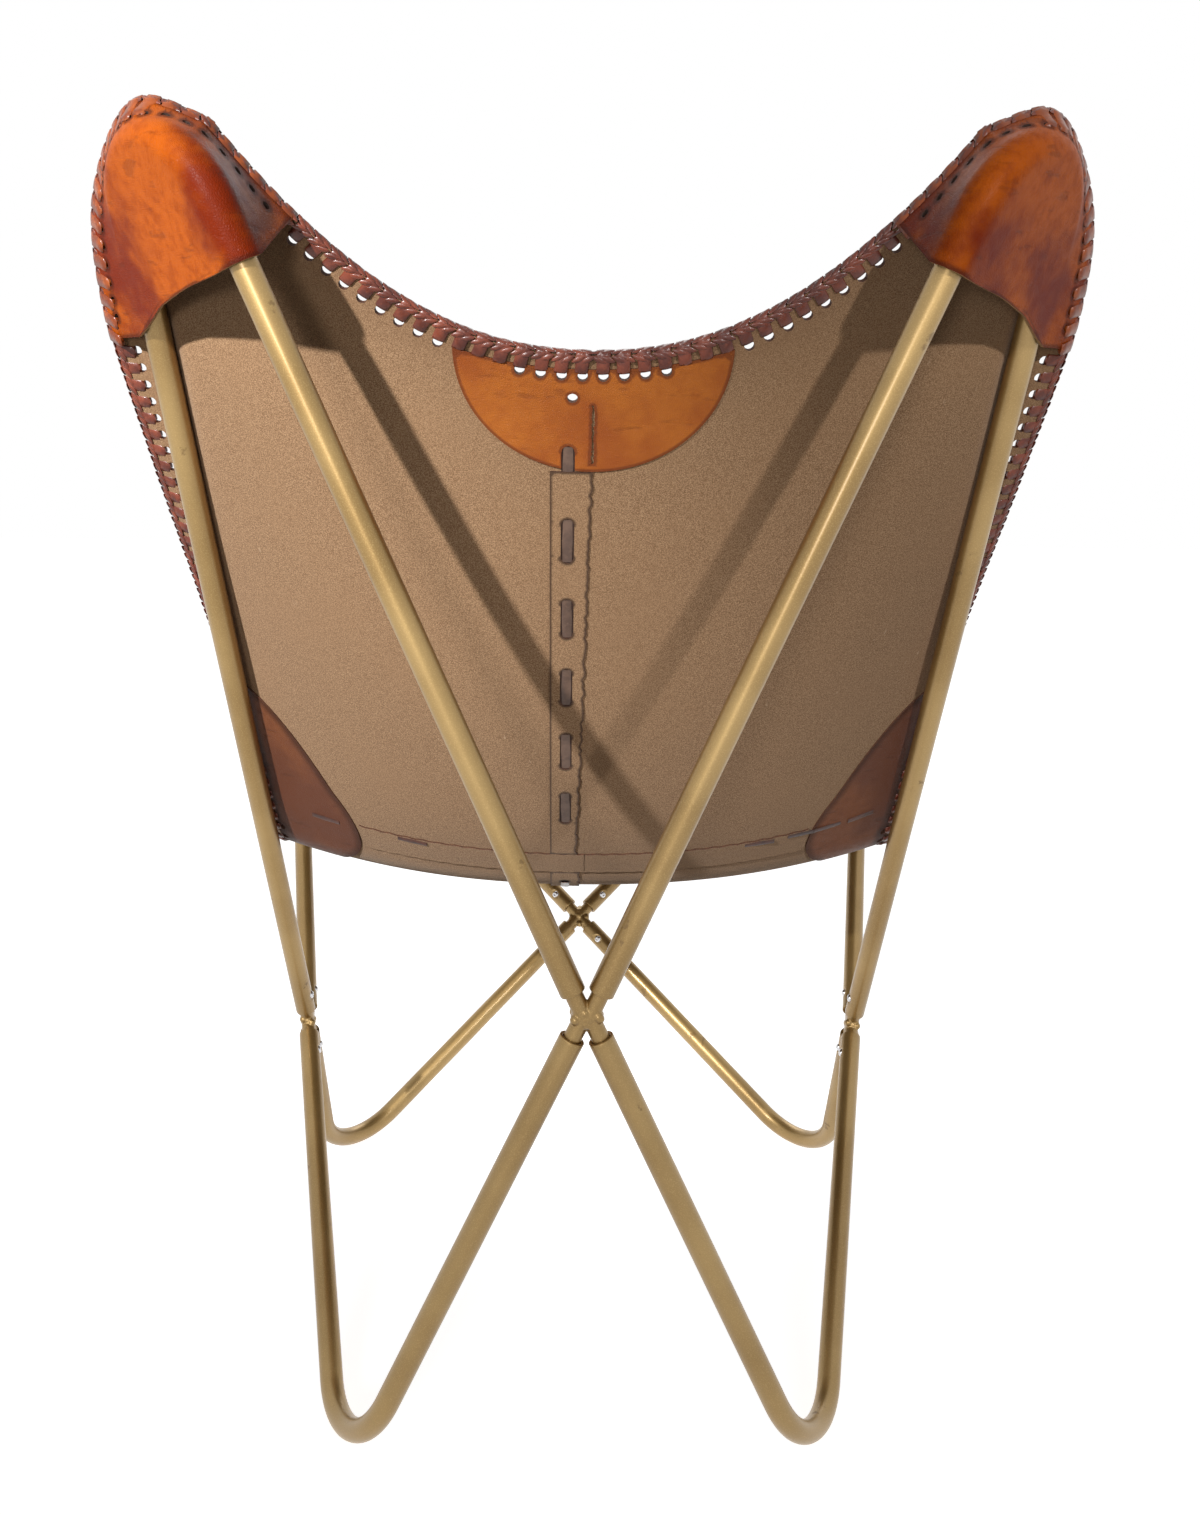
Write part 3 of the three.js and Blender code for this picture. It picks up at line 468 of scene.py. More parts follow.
def cut_out(outline, holes, step):
    """Flat triangles of an outline with holes, with an even net of points between."""
    low, high = outline.min(0), outline.max(0)
    rows = np.arange(low[1] + step * HOLE_FREE, high[1], step * NET_ROW)
    net = [(x + (k % 2) * step / 2, y) for k, y in enumerate(rows) for x in np.arange(low[0], high[0], step)]
    net = np.array(net)
    net = net[within(net, outline)]
    net = net[gap_to(net, outline) > step * EDGE_FREE]
    for hole in holes:
        centre = hole.mean(0)
        reach = np.linalg.norm(hole - centre, axis=1).max()
        close = np.linalg.norm(net - centre, axis=1) < reach + step * HOLE_FREE
        if reach > 2 * step:
            close = within(net, hole) | (close & (gap_to(net, hole) <= step * HOLE_FREE))
        net = net[~close]
    loops = [outline, *holes]
    edges, start = [], 0
    for loop in loops:
        edges += [(start + i, start + (i + 1) % len(loop)) for i in range(len(loop))]
        start += len(loop)
    flat = np.vstack([*loops, net])
    found = delaunay_2d_cdt([Vector(p) for p in flat], edges, [], 0, 1e-4)
    flat = np.array([tuple(p) for p in found[0]])
    faces = np.array([tuple(f) for f in found[2]])
    middles = flat[faces].mean(1)
    keep = within(middles, outline)
    for hole in holes:
        near = np.linalg.norm(middles - hole.mean(0), axis=1) < np.ptp(hole, 0).max()
        keep[near] &= ~within(middles[near], hole)
    faces = faces[keep]
    a, b, c = (flat[faces[:, k]] for k in range(3))
    turn = (b[:, 0] - a[:, 0]) * (c[:, 1] - a[:, 1]) - (b[:, 1] - a[:, 1]) * (c[:, 0] - a[:, 0])
    faces[turn < 0] = faces[turn < 0][:, ::-1]
    used, where = np.unique(faces, return_inverse=True)
    return flat[used], [tuple(f) for f in where.reshape(-1, 3)]


def run(a, b, spacing):
    """Points from a up to but not b, about the spacing apart."""
    a, b = np.asarray(a, float), np.asarray(b, float)
    count = max(2, int(math.ceil(np.linalg.norm(b - a) / spacing)))
    return a + (b - a) * (np.arange(count) / count)[:, None]


def dense(outline, spacing=2.5):
    """Points about the spacing apart along a closed outline."""
    return np.vstack([run(a, b, spacing) for a, b in zip(outline, np.roll(outline, -1, 0))])


# Rim stations for holes and lacing, on the +X half

RIM_REACH = 4  # the way along the rim is read between places this far on either side
JUST_INSIDE = 0.995  # share of the half width at which the rim's normal is read
END_RIBS = 0.03


def rim_path(steps=4000):
    """Shares and ribs along the free edge, from the middle of the top to the middle of the front."""
    top = np.stack([np.linspace(0, 1, steps // 4, endpoint=False), np.zeros(steps // 4)], -1)
    side = np.stack([np.ones(steps // 2), np.linspace(0, LAST_RIB, steps // 2, endpoint=False)], -1)
    front = np.stack([np.linspace(1, 0, steps // 4), np.full(steps // 4, LAST_RIB)], -1)
    return np.vstack([top, side, front])


RIM = rim_path()
RIM_PLACES = surface(RIM[:, 0], RIM[:, 1])
RIM_DISTANCES = run_lengths(RIM_PLACES)
RIM_LENGTH = RIM_DISTANCES[-1]


def along_rim(distance, columns):
    """Values given at the stations of the rim, read at distances along it."""
    return [np.interp(distance, RIM_DISTANCES, column) for column in columns.T]


def rim_point(distance):
    return np.stack(along_rim(distance, RIM_PLACES), -1)


def rim_stations(distance):
    """Point, outside normal, inward and along directions at distances along the rim."""
    u, v = along_rim(distance, RIM)
    ahead, behind = np.minimum(distance + RIM_REACH, RIM_LENGTH), np.maximum(distance - RIM_REACH, 0)
    along = unit(rim_point(ahead) - rim_point(behind))
    point = rim_point(distance)
    normal = outside(u * JUST_INSIDE, np.clip(v, END_RIBS, LAST_RIB - END_RIBS))
    inward = unit(np.cross(normal, along))
    toward = surface(u * 0.9, lerp(v, SEAM_RIB, 0.1)) - point
    inward *= np.sign(dot(inward, toward))[:, None]
    # The seat of a hole is sought from a first guess a little inside the edge
    seat_u, seat_v = settle(point + inward * HOLE_IN, u * 0.96, lerp(v, SEAM_RIB, 0.01))
    inward = unit(surface(seat_u, seat_v) - point)
    normal = unit(normal - inward * dot(normal, inward)[:, None])
    along = unit(along - inward * dot(along, inward)[:, None] - normal * dot(along, normal)[:, None])
    return {"u": u, "v": v, "point": point, "normal": normal, "inward": inward, "along": along,
            "seat": (seat_u, seat_v)}


LACE_COUNT = int(round(RIM_LENGTH / LACE_PITCH))
LACE_STEP = RIM_LENGTH / LACE_COUNT
LACE_DISTANCES = (np.arange(LACE_COUNT) + 0.5) * LACE_STEP
LACES = rim_stations(LACE_DISTANCES)


def over_pocket(u, v):
    back = (v <= BACK_MOUTH["rib"] + RIB_MARGIN) & (u >= BACK_MOUTH["share"] - SHARE_MARGIN)
    front = (v >= FRONT_MOUTH["rib"] - RIB_MARGIN) & (u >= FRONT_MOUTH["share"] - SHARE_MARGIN)
    return back | front


def over_patch(u, v, distance):
    return (distance < CENTRE_PATCH_HALF_WIDTH) | ((u >= 1) & (np.abs(v - SEAM_RIB) < SIDE_PATCH_RIBS * 0.95))


def lace_holes():
    """Table outlines of the punched holes behind the rim of the +X half."""
    seat_u, seat_v = LACES["seat"]
    ring = spokes(HOLE_SIDES, LACES["inward"], LACES["along"])
    targets = surface(seat_u, seat_v)[:, None] + ring * HOLE_RADIUS
    start_u, start_v = (np.repeat(seat[:, None], HOLE_SIDES, 1) for seat in (seat_u, seat_v))
    return to_table(*settle(targets, start_u, start_v))


HOLES = lace_holes()


def rim_gap(points):
    """Distance from points of either half to the free edge."""
    folded = np.column_stack([np.abs(points[:, 0]), points[:, 1:]])
    return gap_to(folded, rim_point(np.linspace(0, RIM_LENGTH, 500)))


# Shader nodes


def add_node(tree, kind, settings=None, inputs=None, out=0):
    """An output of a new node; its inputs are values or sockets to link from."""
    made = tree.nodes.new(kind)
    for name, value in (settings or {}).items():
        setattr(made, name, value)
    for name, value in (inputs or {}).items():
        if isinstance(value, bpy.types.NodeSocket):
            tree.links.new(value, made.inputs[name])
        else:
            made.inputs[name].default_value = value
    return made.outputs[out]


class Wire:
    """An output of a shader node; arithmetic on it adds Math nodes."""

    def __init__(self, finish, socket):
        self.finish, self.socket = finish, socket

    def _join(self, operation, first, second):
        return self.finish.node("ShaderNodeMath", {"operation": operation}, {0: first, 1: second})

    def __add__(self, other):
        return self._join("ADD", self, other)

    def __sub__(self, other):
        return self._join("SUBTRACT", self, other)

    def __rsub__(self, other):
        return self._join("SUBTRACT", other, self)

    def __mul__(self, other):
        return self._join("MULTIPLY", self, other)

    __radd__, __rmul__ = __add__, __mul__


class Finish:
    """A material and the nodes that colour it."""

    def __init__(self, name, **constants):
        self.material = bpy.data.materials.new(name)
        self.material.use_nodes = True
        self.tree = self.material.node_tree
        self.shader = self.tree.nodes["Principled BSDF"]
        for socket, value in constants.items():
            self.shader.inputs[socket.replace("_", " ")].default_value = value
        self.place = self.node("ShaderNodeTexCoord", out="Object")

    def node(self, kind, settings=None, sockets=None, out=0):
        inputs = {name: getattr(value, "socket", value) for name, value in (sockets or {}).items()}
        return Wire(self, add_node(self.tree, kind, settings, inputs, out))

    def noise(self, scale, detail=2.0, roughness=0.5, vector=None):
        return self.node("ShaderNodeTexNoise", None, {
            "Vector": vector or self.place, "Scale": scale, "Detail": detail, "Roughness": roughness})

    def cells(self, scale):
        """Distance to the edges of a net of small cells."""
        return self.node("ShaderNodeTexVoronoi", {"feature": "DISTANCE_TO_EDGE"},
                         {"Vector": self.place, "Scale": scale}, "Distance")

    def stretched(self, scale, turn):
        return self.node("ShaderNodeMapping", None, {
            "Vector": self.place, "Rotation": turn, "Scale": scale})

    def value(self, name):
        return self.node("ShaderNodeAttribute", {"attribute_name": name}, None, "Fac")

    def between(self, wire, low, high):
        """0 below low and 1 above high, smoothly."""
        return self.node("ShaderNodeMapRange", {"interpolation_type": "SMOOTHSTEP"},
                         {0: wire, 1: low, 2: high})

    def mix(self, share, first, second):
        return self.node("ShaderNodeMix", {"data_type": "RGBA"}, {0: share, 6: first, 7: second}, 2)

    def tinted(self, base, wire, low, high, share, colour):
        """The base with a share of the colour where the wire climbs from low to high."""
        return self.mix(self.between(wire, low, high) * share, base, colour)

    def feed(self, **wires):
        for socket, wire in wires.items():
            self.tree.links.new(wire.socket, self.shader.inputs[socket.replace("_", " ")])
        return self.material

    def bump(self, height, distance, strength):
        made = self.node("ShaderNodeBump", None, {
            "Height": height, "Distance": distance, "Strength": strength}, "Normal")
        self.tree.links.new(made.socket, self.shader.inputs["Normal"])


def paint(red, green, blue):
    """Linear colour from the 0 to 255 numbers seen on a screen."""
    def linear(c):
        c /= 255
        return c / 12.92 if c <= 0.04045 else ((c + 0.055) / 1.055) ** 2.4
    return (linear(red), linear(green), linear(blue), 1)


def bronze_paint():
    finish = Finish("bronze_paint", Metallic=0.7, Specular_IOR_Level=0.4,
                    Coat_Weight=0.5, Coat_Roughness=0.24)
    cloudy = finish.noise(9, 3)
    flecks = finish.noise(1400, 1)
    worn = finish.between(finish.noise(55, 4, 0.6), 0.66, 0.72)
    base = finish.mix(finish.between(cloudy, 0.35, 0.65), paint(150, 120, 70), paint(172, 142, 90))
    base = finish.tinted(base, flecks, 0.45, 0.8, 0.35, paint(206, 174, 116))
    base = finish.mix(worn * 0.5, base, paint(112, 86, 52))
    finish.bump(finish.noise(260, 3) * 0.6 + worn * -0.5, 0.00012, 0.5)
    return finish.feed(Base_Color=base, Roughness=0.36 + cloudy * 0.1 + worn * 0.2)


def screw_steel():
    finish = Finish("bright_screw_steel", Metallic=1.0)
    turned = finish.noise(1800, 2)
    base = finish.mix(turned, paint(196, 196, 198), paint(236, 236, 238))
    return finish.feed(Base_Color=base, Roughness=0.16 + turned * 0.12)


def brushed_suede(name, edge_shade):
    finish = Finish(name, Sheen_Weight=0.25, Sheen_Roughness=0.5,
                    Sheen_Tint=(0.95, 0.85, 0.75, 1), Specular_IOR_Level=0.25)
    speckle = finish.noise(1500, 3, 0.75)
    nap = finish.noise(260, 3, 0.6)
    clouds = finish.noise(11, 4, 0.6)
    base = finish.mix(finish.between(speckle, 0.4, 0.62), paint(116, 85, 58), paint(174, 140, 106))
    base = finish.tinted(base, nap, 0.45, 0.75, 0.2, paint(128, 96, 66))
    base = finish.tinted(base, clouds, 0.44, 0.7, 0.3, paint(150, 116, 84))
    streak = finish.noise(1, 2, 0.5, finish.stretched((240, 240, 16), (0.3, 0.5, 0.2)))
    scratch = finish.between(streak, 0.71, 0.76) * finish.between(finish.noise(8, 2), 0.5, 0.62)
    base = finish.mix(scratch * 0.3, base, paint(210, 182, 150))
    # Painted shade with a darker raw edge: the suede darkens near its cut edges, along the strip's sides and
    # round its slots
    if edge_shade:
        cut = 1 - finish.between(finish.value("edge_gap"), 0.4, edge_shade)
        base = finish.mix(cut * 0.85, base, paint(58, 38, 28))
    # Painted shade: the suede darkens towards the laced rim and fades out 34 mm in
    rim_shade = 1 - finish.between(finish.value("rim_gap"), 12, 34)
    base = finish.mix(rim_shade * 0.25, base, paint(128, 94, 66))
    finish.bump(speckle * 0.6 + nap * 0.4, 0.0004, 0.6)
    return finish.feed(Base_Color=base, Roughness=0.86 + speckle * 0.12)


def saddle_leather(name, deep, mid, bright, grain=750.0, shine=0.36, edge_fade=9.0, gloss=0.16):
    """Smooth grain leather, burnished darker along its edges."""
    finish = Finish(name, Specular_IOR_Level=gloss)
    pebbles = finish.cells(grain)
    clouds = finish.noise(11, 4, 0.6)
    grainy = finish.noise(140, 4, 0.65)
    base = finish.mix(finish.between(clouds, 0.42, 0.62), mid, bright)
    base = finish.tinted(base, grainy, 0.4, 0.75, 0.45, mid)
    crease = finish.noise(1, 3, 0.5, finish.stretched((38, 38, 150), (0.6, 0.2, 0.4)))
    worn = finish.between(crease, 0.6, 0.7)
    base = finish.mix(worn * 0.3, base, deep)
    burnish = 1 - finish.between(finish.value("edge_gap"), 1.0, edge_fade)
    base = finish.mix(burnish * 0.75, base, deep)
    pores = 1 - finish.between(pebbles, 0.02, 0.2)
    finish.bump(grainy * 0.5 - pores * 0.5 - worn * 0.4, 0.00035, 0.8)
    return finish.feed(Base_Color=base, Roughness=shine + grainy * 0.2 + burnish * 0.08)


def cut_edge(name, dark, pale):
    finish = Finish(name, Roughness=0.8)
    layers = finish.noise(900, 3, 0.7)
    finish.bump(layers, 0.0003, 0.6)
    return finish.feed(Base_Color=finish.mix(finish.between(layers, 0.35, 0.65), dark, pale))


def waxed_lace(name, dark, pale, streak):
    finish = Finish(name, Specular_IOR_Level=0.4, Coat_Weight=0.1, Coat_Roughness=0.12)
    tone = finish.noise(70, 3, 0.6)
    streaks = finish.noise(420, 3, 0.6)
    base = finish.mix(finish.between(tone, 0.38, 0.66), dark, pale)
    base = finish.tinted(base, streaks, 0.52, 0.8, 0.5, streak)
    finish.bump(streaks, 0.00025, 0.6)
    return finish.feed(Base_Color=base, Roughness=0.24 + streaks * 0.22)


BRONZE = bronze_paint()
STEEL = screw_steel()
SUEDE = brushed_suede("brushed_suede", 0)
STRIP_SUEDE = brushed_suede("strip_suede", 2.4)
SEAT_GRAIN = saddle_leather("seat_grain_leather", paint(70, 34, 18), paint(122, 64, 32), paint(146, 80, 40))
POCKET_GRAIN = saddle_leather("pocket_grain_leather", paint(60, 18, 6), paint(112, 32, 2),
                              paint(176, 82, 8), grain=700.0, shine=0.34, edge_fade=4.0, gloss=0.1)
PATCH_GRAIN = saddle_leather("patch_grain_leather", paint(104, 50, 26), paint(152, 78, 32),
                             paint(176, 100, 38), grain=800.0, shine=0.34, edge_fade=2.6)
# A darker copy of the patch leather for the side patches: painted shade, as the tubes shadow them
SHADED_SIDE_GRAIN = saddle_leather("side_grain_leather", paint(58, 34, 24), paint(104, 62, 44), paint(126, 76, 48))
DARK_EDGE = cut_edge("waxed_cut_edge", paint(56, 30, 18), paint(92, 54, 32))
PALE_EDGE = cut_edge("raw_cut_edge", paint(150, 108, 70), paint(188, 146, 100))
# Near-black walls for the punched holes and the sheets in the slots: painted shade inside the openings
HOLE_WALL_SHADE = cut_edge("punched_hole_wall", paint(34, 18, 12), paint(60, 34, 20))
LACE = waxed_lace("waxed_lace", paint(88, 38, 26), paint(126, 60, 40), paint(150, 84, 58))
POCKET_LACE = waxed_lace("pocket_lace", paint(112, 46, 14), paint(150, 72, 26), paint(178, 98, 44))
DASH_LACE = waxed_lace("dash_lace", paint(52, 28, 22), paint(84, 46, 32), paint(110, 64, 46))
WORN_LACE = waxed_lace("worn_lace", paint(84, 64, 54), paint(108, 84, 70), paint(122, 96, 80))


# Tubes, crosses and screws

TUBE_SIDES = 56
LIP = 0.55
BORE_MOUTH = [(0.05, 0.3), (0.6, 0)]  # distance from the tube's end and how much wider the bore is
END_RINGS = np.array([LIP, 3, 7])
CLOSE_RINGS = 11  # from here to past the screw the rings lie close together
PAST_SCREW = 8
RING_STEP = 0.9
BEND_RINGS = 37
DIMPLE_DEPTH = 1.3
DIMPLE_FLAT = 3.3
DIMPLE_REACH = 5.3

CROSSES = {
    "back": (BACK_MEET, np.array([0, -1.0, 0])),
    "front": (FRONT_MEET, np.array([0, 1.0, 0])),
    "left": (SIDE_CROSS, np.array([-1.0, 0, 0])),
    "right": (SIDE_CROSS * np.array([-1, 1, 1]), np.array([1.0, 0, 0])),
}
SETBACKS = {"foot_tube_back": BACK_LOWER_SETBACK, "foot_tube_front": END_SETBACK,
            "wing_tube_back": BACK_UPPER_SETBACK, "wing_tube_front": END_SETBACK}


def screw_seats(name):
    """For the +X tube: screw place on the axis and the direction out of the wall, at both ends."""
    rod = RODS[name]
    crosses = ("left", "back" if name.endswith("back") else "front")
    seats = []
    for meet, setback, cross in zip(rod.meets, (END_SETBACK, SETBACKS[name]), crosses):
        direction = unit(rod.corner - meet)
        inward = CROSSES[cross][1]
        out = unit(inward - direction * dot(inward, direction))
        seats.append((meet + direction * (setback + SCREW_FROM_END), out))
    return seats


def bent_tube(name):
    """Outer wall, rounded lips and bore of a bent tube, with a dimple pressed in round each screw."""
    rod = RODS[name]
    near = SCREW_FROM_END + PAST_SCREW
    bend = rod.straights[0], rod.straights[0] + rod.radius * rod.turn
    places = np.concatenate([
        END_RINGS, np.arange(CLOSE_RINGS, near, RING_STEP), np.linspace(near, bend[0], 6)[1:-1],
        np.linspace(*bend, BEND_RINGS), np.linspace(bend[1], rod.length - near, 6)[1:-1],
        np.arange(rod.length - near, rod.length - (CLOSE_RINGS - 0.1), RING_STEP),
        rod.length - END_RINGS[::-1]])
    lip = [(LIP * (1 - math.cos(a)), LIP * (1 - math.sin(a))) for a in np.radians([5, 30, 60])]
    rings = [(back, TUBE_RADIUS - inset) for back, inset in lip]
    rings += [(s, TUBE_RADIUS) for s in places]
    rings += [(rod.length - back, TUBE_RADIUS - inset) for back, inset in reversed(lip)]
    rings += [(rod.length - back, BORE_RADIUS + wider) for back, wider in BORE_MOUTH]
    rings += [(s, BORE_RADIUS) for s in np.concatenate([
        np.linspace(bend[1], rod.length - 2, 4)[::-1], np.linspace(*bend, 19)[::-1][1:-1],
        np.linspace(2, bend[0], 4)[::-1]])]
    rings += [(back, BORE_RADIUS + wider) for back, wider in reversed(BORE_MOUTH)]
    distances, radii = np.array(rings).T
    centres, directions = rod.at(distances)
    round_about = spokes(TUBE_SIDES, np.cross(rod.axis, directions), rod.axis)
    points = centres[:, None] + round_about * radii[:, None, None]
    outer = radii > BORE_RADIUS + 1
    for seat, out in screw_seats(name):
        offset = points - seat
        above = dot(offset, out)
        beside = np.linalg.norm(offset - above[..., None] * out, axis=-1)
        press = np.clip((DIMPLE_REACH - beside) / (DIMPLE_REACH - DIMPLE_FLAT), 0, 1)
        press = press * press * (3 - 2 * press) * (above > 0) * outer[:, None]
        level = np.minimum(above, TUBE_RADIUS - DIMPLE_DEPTH)
        points = points + out * ((level - above) * press)[..., None]
    if name.startswith("foot"):
        points[..., 2] = np.maximum(points[..., 2], 0)
    faces = grid_faces(len(rings) + 1, TUBE_SIDES, closed=True)
    total = len(rings) * TUBE_SIDES
    faces = [tuple(i % total for i in f) for f in faces]
    return points.reshape(-1, 3), faces


def facing_out(points, faces):
    volume = sum(np.dot(points[f[0]], np.cross(points[f[i]], points[f[i + 1]]))
                 for f in faces for i in range(1, len(f) - 1))
    return faces if volume > 0 else [tuple(reversed(f)) for f in faces]


for tube in RODS:
    points, faces = bent_tube(tube)
    faces = facing_out(points, faces)
    for side, sign in SIDES.items():
        p, f = (points, faces) if sign > 0 else mirrored(points, faces)
        place(piece_from(f"bent_{tube}_{side}", p, f, [BRONZE], sharp=60), "frame_paint", f"{tube}_{side}")


def lathe(profile, sides):
    """Closed turned shape round Z from (radius, height) pairs that start and end on the axis."""
    inner = profile[1:-1]
    points = [(r * math.cos(t), r * math.sin(t), z) for r, z in inner for t in ring_angles(sides)]
    points += [(0, 0, profile[0][1]), (0, 0, profile[-1][1])]
    faces = grid_faces(len(inner), sides, closed=True)
    last = (len(inner) - 1) * sides
    faces += [(len(points) - 2, (j + 1) % sides, j) for j in range(sides)]
    faces += [(len(points) - 1, last + j, last + (j + 1) % sides) for j in range(sides)]
    points = np.array(points)
    return points, facing_out(points, faces)


def rounded_bar(a, b, radius, sides=24, cap=1.0):
    """Closed round bar from a to b with softened ends."""
    axis = unit(b - a)
    helper = np.array([0, 0, 1.0]) if abs(axis[2]) < 0.9 else np.array([1.0, 0, 0])
    x = unit(np.cross(axis, helper))
    length = np.linalg.norm(b - a)
    points, faces = lathe([(0, 0), (radius - cap, 0), (radius, cap), (radius, length - cap),
                           (radius - cap, length), (0, length)], sides)
    return a + points @ np.stack([x, np.cross(axis, x), axis]), faces


def bead_ball(centre, radius):
    angles = np.arange(8) * math.pi / 7
    points, faces = lathe([(radius * math.sin(a), radius * math.cos(a)) for a in angles], 10)
    return points + centre, faces


def joined(parts):
    points, faces, start = [], [], 0
    for p, f in parts:
        points.append(p)
        faces += [tuple(i + start for i in face) for face in f]
        start += len(p)
    return np.vstack(points), faces


WELD_VOXEL = 0.6
BEAD_REACH = 7.6  # from the meeting point of two rods to the beads in the valley between them
BEAD_DEPTH = STUB_RADIUS * 0.62
BEAD_RADII = (2.6, 3.7)


def welded_cross(name):
    """Two crossed rods melted together by lumpy weld beads, with a stub into each of four tubes."""
    centre, inward = CROSSES[name]
    ends = []
    for tube, rod in RODS.items():
        if name in SIDES:
            flip = flip_to(SIDES[name])
            ends.append((rod.meets[0] * flip, unit(rod.corner - rod.meets[0]) * flip, END_SETBACK))
        elif tube.endswith(name):
            meet, back = rod.meets[1], SETBACKS[tube]
            direction = unit(rod.corner - meet)
            ends += [(meet, direction, back), (meet, direction * flip_to(-1), back)]
    parts = [rounded_bar(meet - direction * 2, meet + direction * (back + STUB_INSERT), STUB_RADIUS)
             for meet, direction, back in ends]
    random = np.random.default_rng(7)
    for meet, direction, _ in ends:
        for other, towards, _ in ends:
            if dot(direction, towards) < -0.95 or towards is direction:
                continue
            valley = unit(direction + towards)
            for level in (-1, 0, 1):
                reach = BEAD_REACH + random.uniform(-0.7, 0.9)
                spot = (meet + other) / 2 + valley * reach + inward * BEAD_DEPTH * level
                spot = spot + unit(np.cross(inward, valley)) * random.uniform(-1.4, 1.4)
                parts.append(bead_ball(spot, random.uniform(*BEAD_RADII)))
    parts.append(bead_ball(centre, STUB_RADIUS + 1.2))
    points, faces = joined(parts)
    piece = piece_from(f"welded_cross_{name}", points, faces, [BRONZE], sharp=180)
    remesh = piece.modifiers.new("melt", "REMESH")
    remesh.mode, remesh.voxel_size, remesh.use_smooth_shade = "VOXEL", WELD_VOXEL * MM, True
    smooth = piece.modifiers.new("flow", "SMOOTH")
    smooth.factor, smooth.iterations = 0.5, 5
    return settled(piece)


def settled(piece):
    """The piece with its modifiers worked into a plain mesh."""
    depsgraph = bpy.context.evaluated_depsgraph_get()
    depsgraph.update()
    mesh = bpy.data.meshes.new_from_object(piece.evaluated_get(depsgraph), depsgraph=depsgraph)
    name, old = piece.name, piece.data
    piece.modifiers.clear()
    piece.data = mesh
    bpy.data.meshes.remove(old)
    mesh.name = name
    if not mesh.materials:
        mesh.materials.append(BRONZE)
    mesh.polygons.foreach_set("use_smooth", np.ones(len(mesh.polygons), bool))
    return piece


for cross in CROSSES:
    place(welded_cross(cross), "frame_paint", f"cross_{cross}")


# Pieces repeated by Geometry Nodes


def repeat_tree(shapes):
    """Tree that sets numbered shapes on points, turned by each point's own directions."""
    tree = bpy.data.node_groups.new(f"set_on_points_{shapes}", "GeometryNodeTree")
    sockets = {"Points": "Geometry", "Sway": "Float", "Seed": "Int", "Finish": "Material"}
    sockets.update({f"Shape {i}": "Object" for i in range(shapes)})
    for label, kind in sockets.items():
        tree.interface.new_socket(label, in_out="INPUT", socket_type=f"NodeSocket{kind}")
    tree.interface.new_socket("Pieces", in_out="OUTPUT", socket_type="NodeSocketGeometry")
    given = tree.nodes.new("NodeGroupInput").outputs

    def add(kind, out, inputs, **settings):
        return add_node(tree, kind, settings, inputs, out)

    def attribute(label, kind="FLOAT_VECTOR"):
        return add("GeometryNodeInputNamedAttribute", "Attribute", {"Name": label}, data_type=kind)

    up = add("FunctionNodeAlignRotationToVector", "Rotation", {"Vector": attribute("out")}, axis="Z")
    ahead = add("FunctionNodeAlignRotationToVector", "Rotation",
                {"Rotation": up, "Vector": attribute("along")}, axis="X", pivot_axis="Z")
    least = add("ShaderNodeMath", 0, {0: given["Sway"], 1: -1}, operation="MULTIPLY")
    sway = add("FunctionNodeRandomValue", "Value",
               {"Min": least, "Max": given["Sway"], "Seed": given["Seed"]}, data_type="FLOAT_VECTOR")
    turn = add("FunctionNodeEulerToRotation", "Rotation", {"Euler": sway})
    swayed = add("FunctionNodeRotateRotation", "Rotation", {"Rotation": ahead, "Rotate By": turn},
                 rotation_space="LOCAL")
    gather = tree.nodes.new("GeometryNodeJoinGeometry")
    for i in range(shapes):
        chosen = add("FunctionNodeCompare", "Result", {"A": attribute("kind", "INT"), "B": i},
                     data_type="INT", operation="EQUAL")
        shape = add("GeometryNodeObjectInfo", "Geometry", {"Object": given[f"Shape {i}"]})
        put = add("GeometryNodeInstanceOnPoints", "Instances",
                  {"Points": given["Points"], "Selection": chosen, "Instance": shape,
                   "Rotation": swayed, "Scale": attribute("spread")})
        tree.links.new(put, gather.inputs["Geometry"])
    real = add("GeometryNodeRealizeInstances", "Geometry", {"Geometry": gather.outputs["Geometry"]})
    finished = add("GeometryNodeSetMaterial", "Geometry", {"Geometry": real, "Material": given["Finish"]})
    tree.links.new(finished, tree.nodes.new("NodeGroupOutput").inputs["Pieces"])
    return tree


TREES = {}


def repeated(name, shapes, spots, finish, sway=0.0, seed=1, sharp=60):
    """One mesh of the shapes set at the spots: lists of point, out, along, kind and spread."""
    if len(shapes) not in TREES:
        TREES[len(shapes)] = repeat_tree(len(shapes))
    tree = TREES[len(shapes)]
    host = bpy.data.meshes.new(name)
    host.from_pydata([tuple(p * MM) for p in spots["point"]], [], [])
    for key in ("out", "along", "spread"):
        layer = host.attributes.new(key, "FLOAT_VECTOR", "POINT")
        layer.data.foreach_set("vector", np.asarray(spots[key], np.float32).ravel())
    layer = host.attributes.new("kind", "INT", "POINT")
    layer.data.foreach_set("value", np.asarray(spots["kind"], np.int32))
    piece = bpy.data.objects.new(name, host)
    bpy.context.scene.collection.objects.link(piece)
    modifier = piece.modifiers.new("set", "NODES")
    modifier.node_group = tree
    values = {"Sway": sway, "Seed": seed, "Finish": finish}
    values.update({f"Shape {i}": shape for i, shape in enumerate(shapes)})
    for item in tree.interface.items_tree:
        if item.in_out == "INPUT" and item.name in values:
            modifier[item.identifier] = values[item.name]
    piece = settled(piece)
    piece.data.set_sharp_from_angle(angle=math.radians(sharp))
    return piece


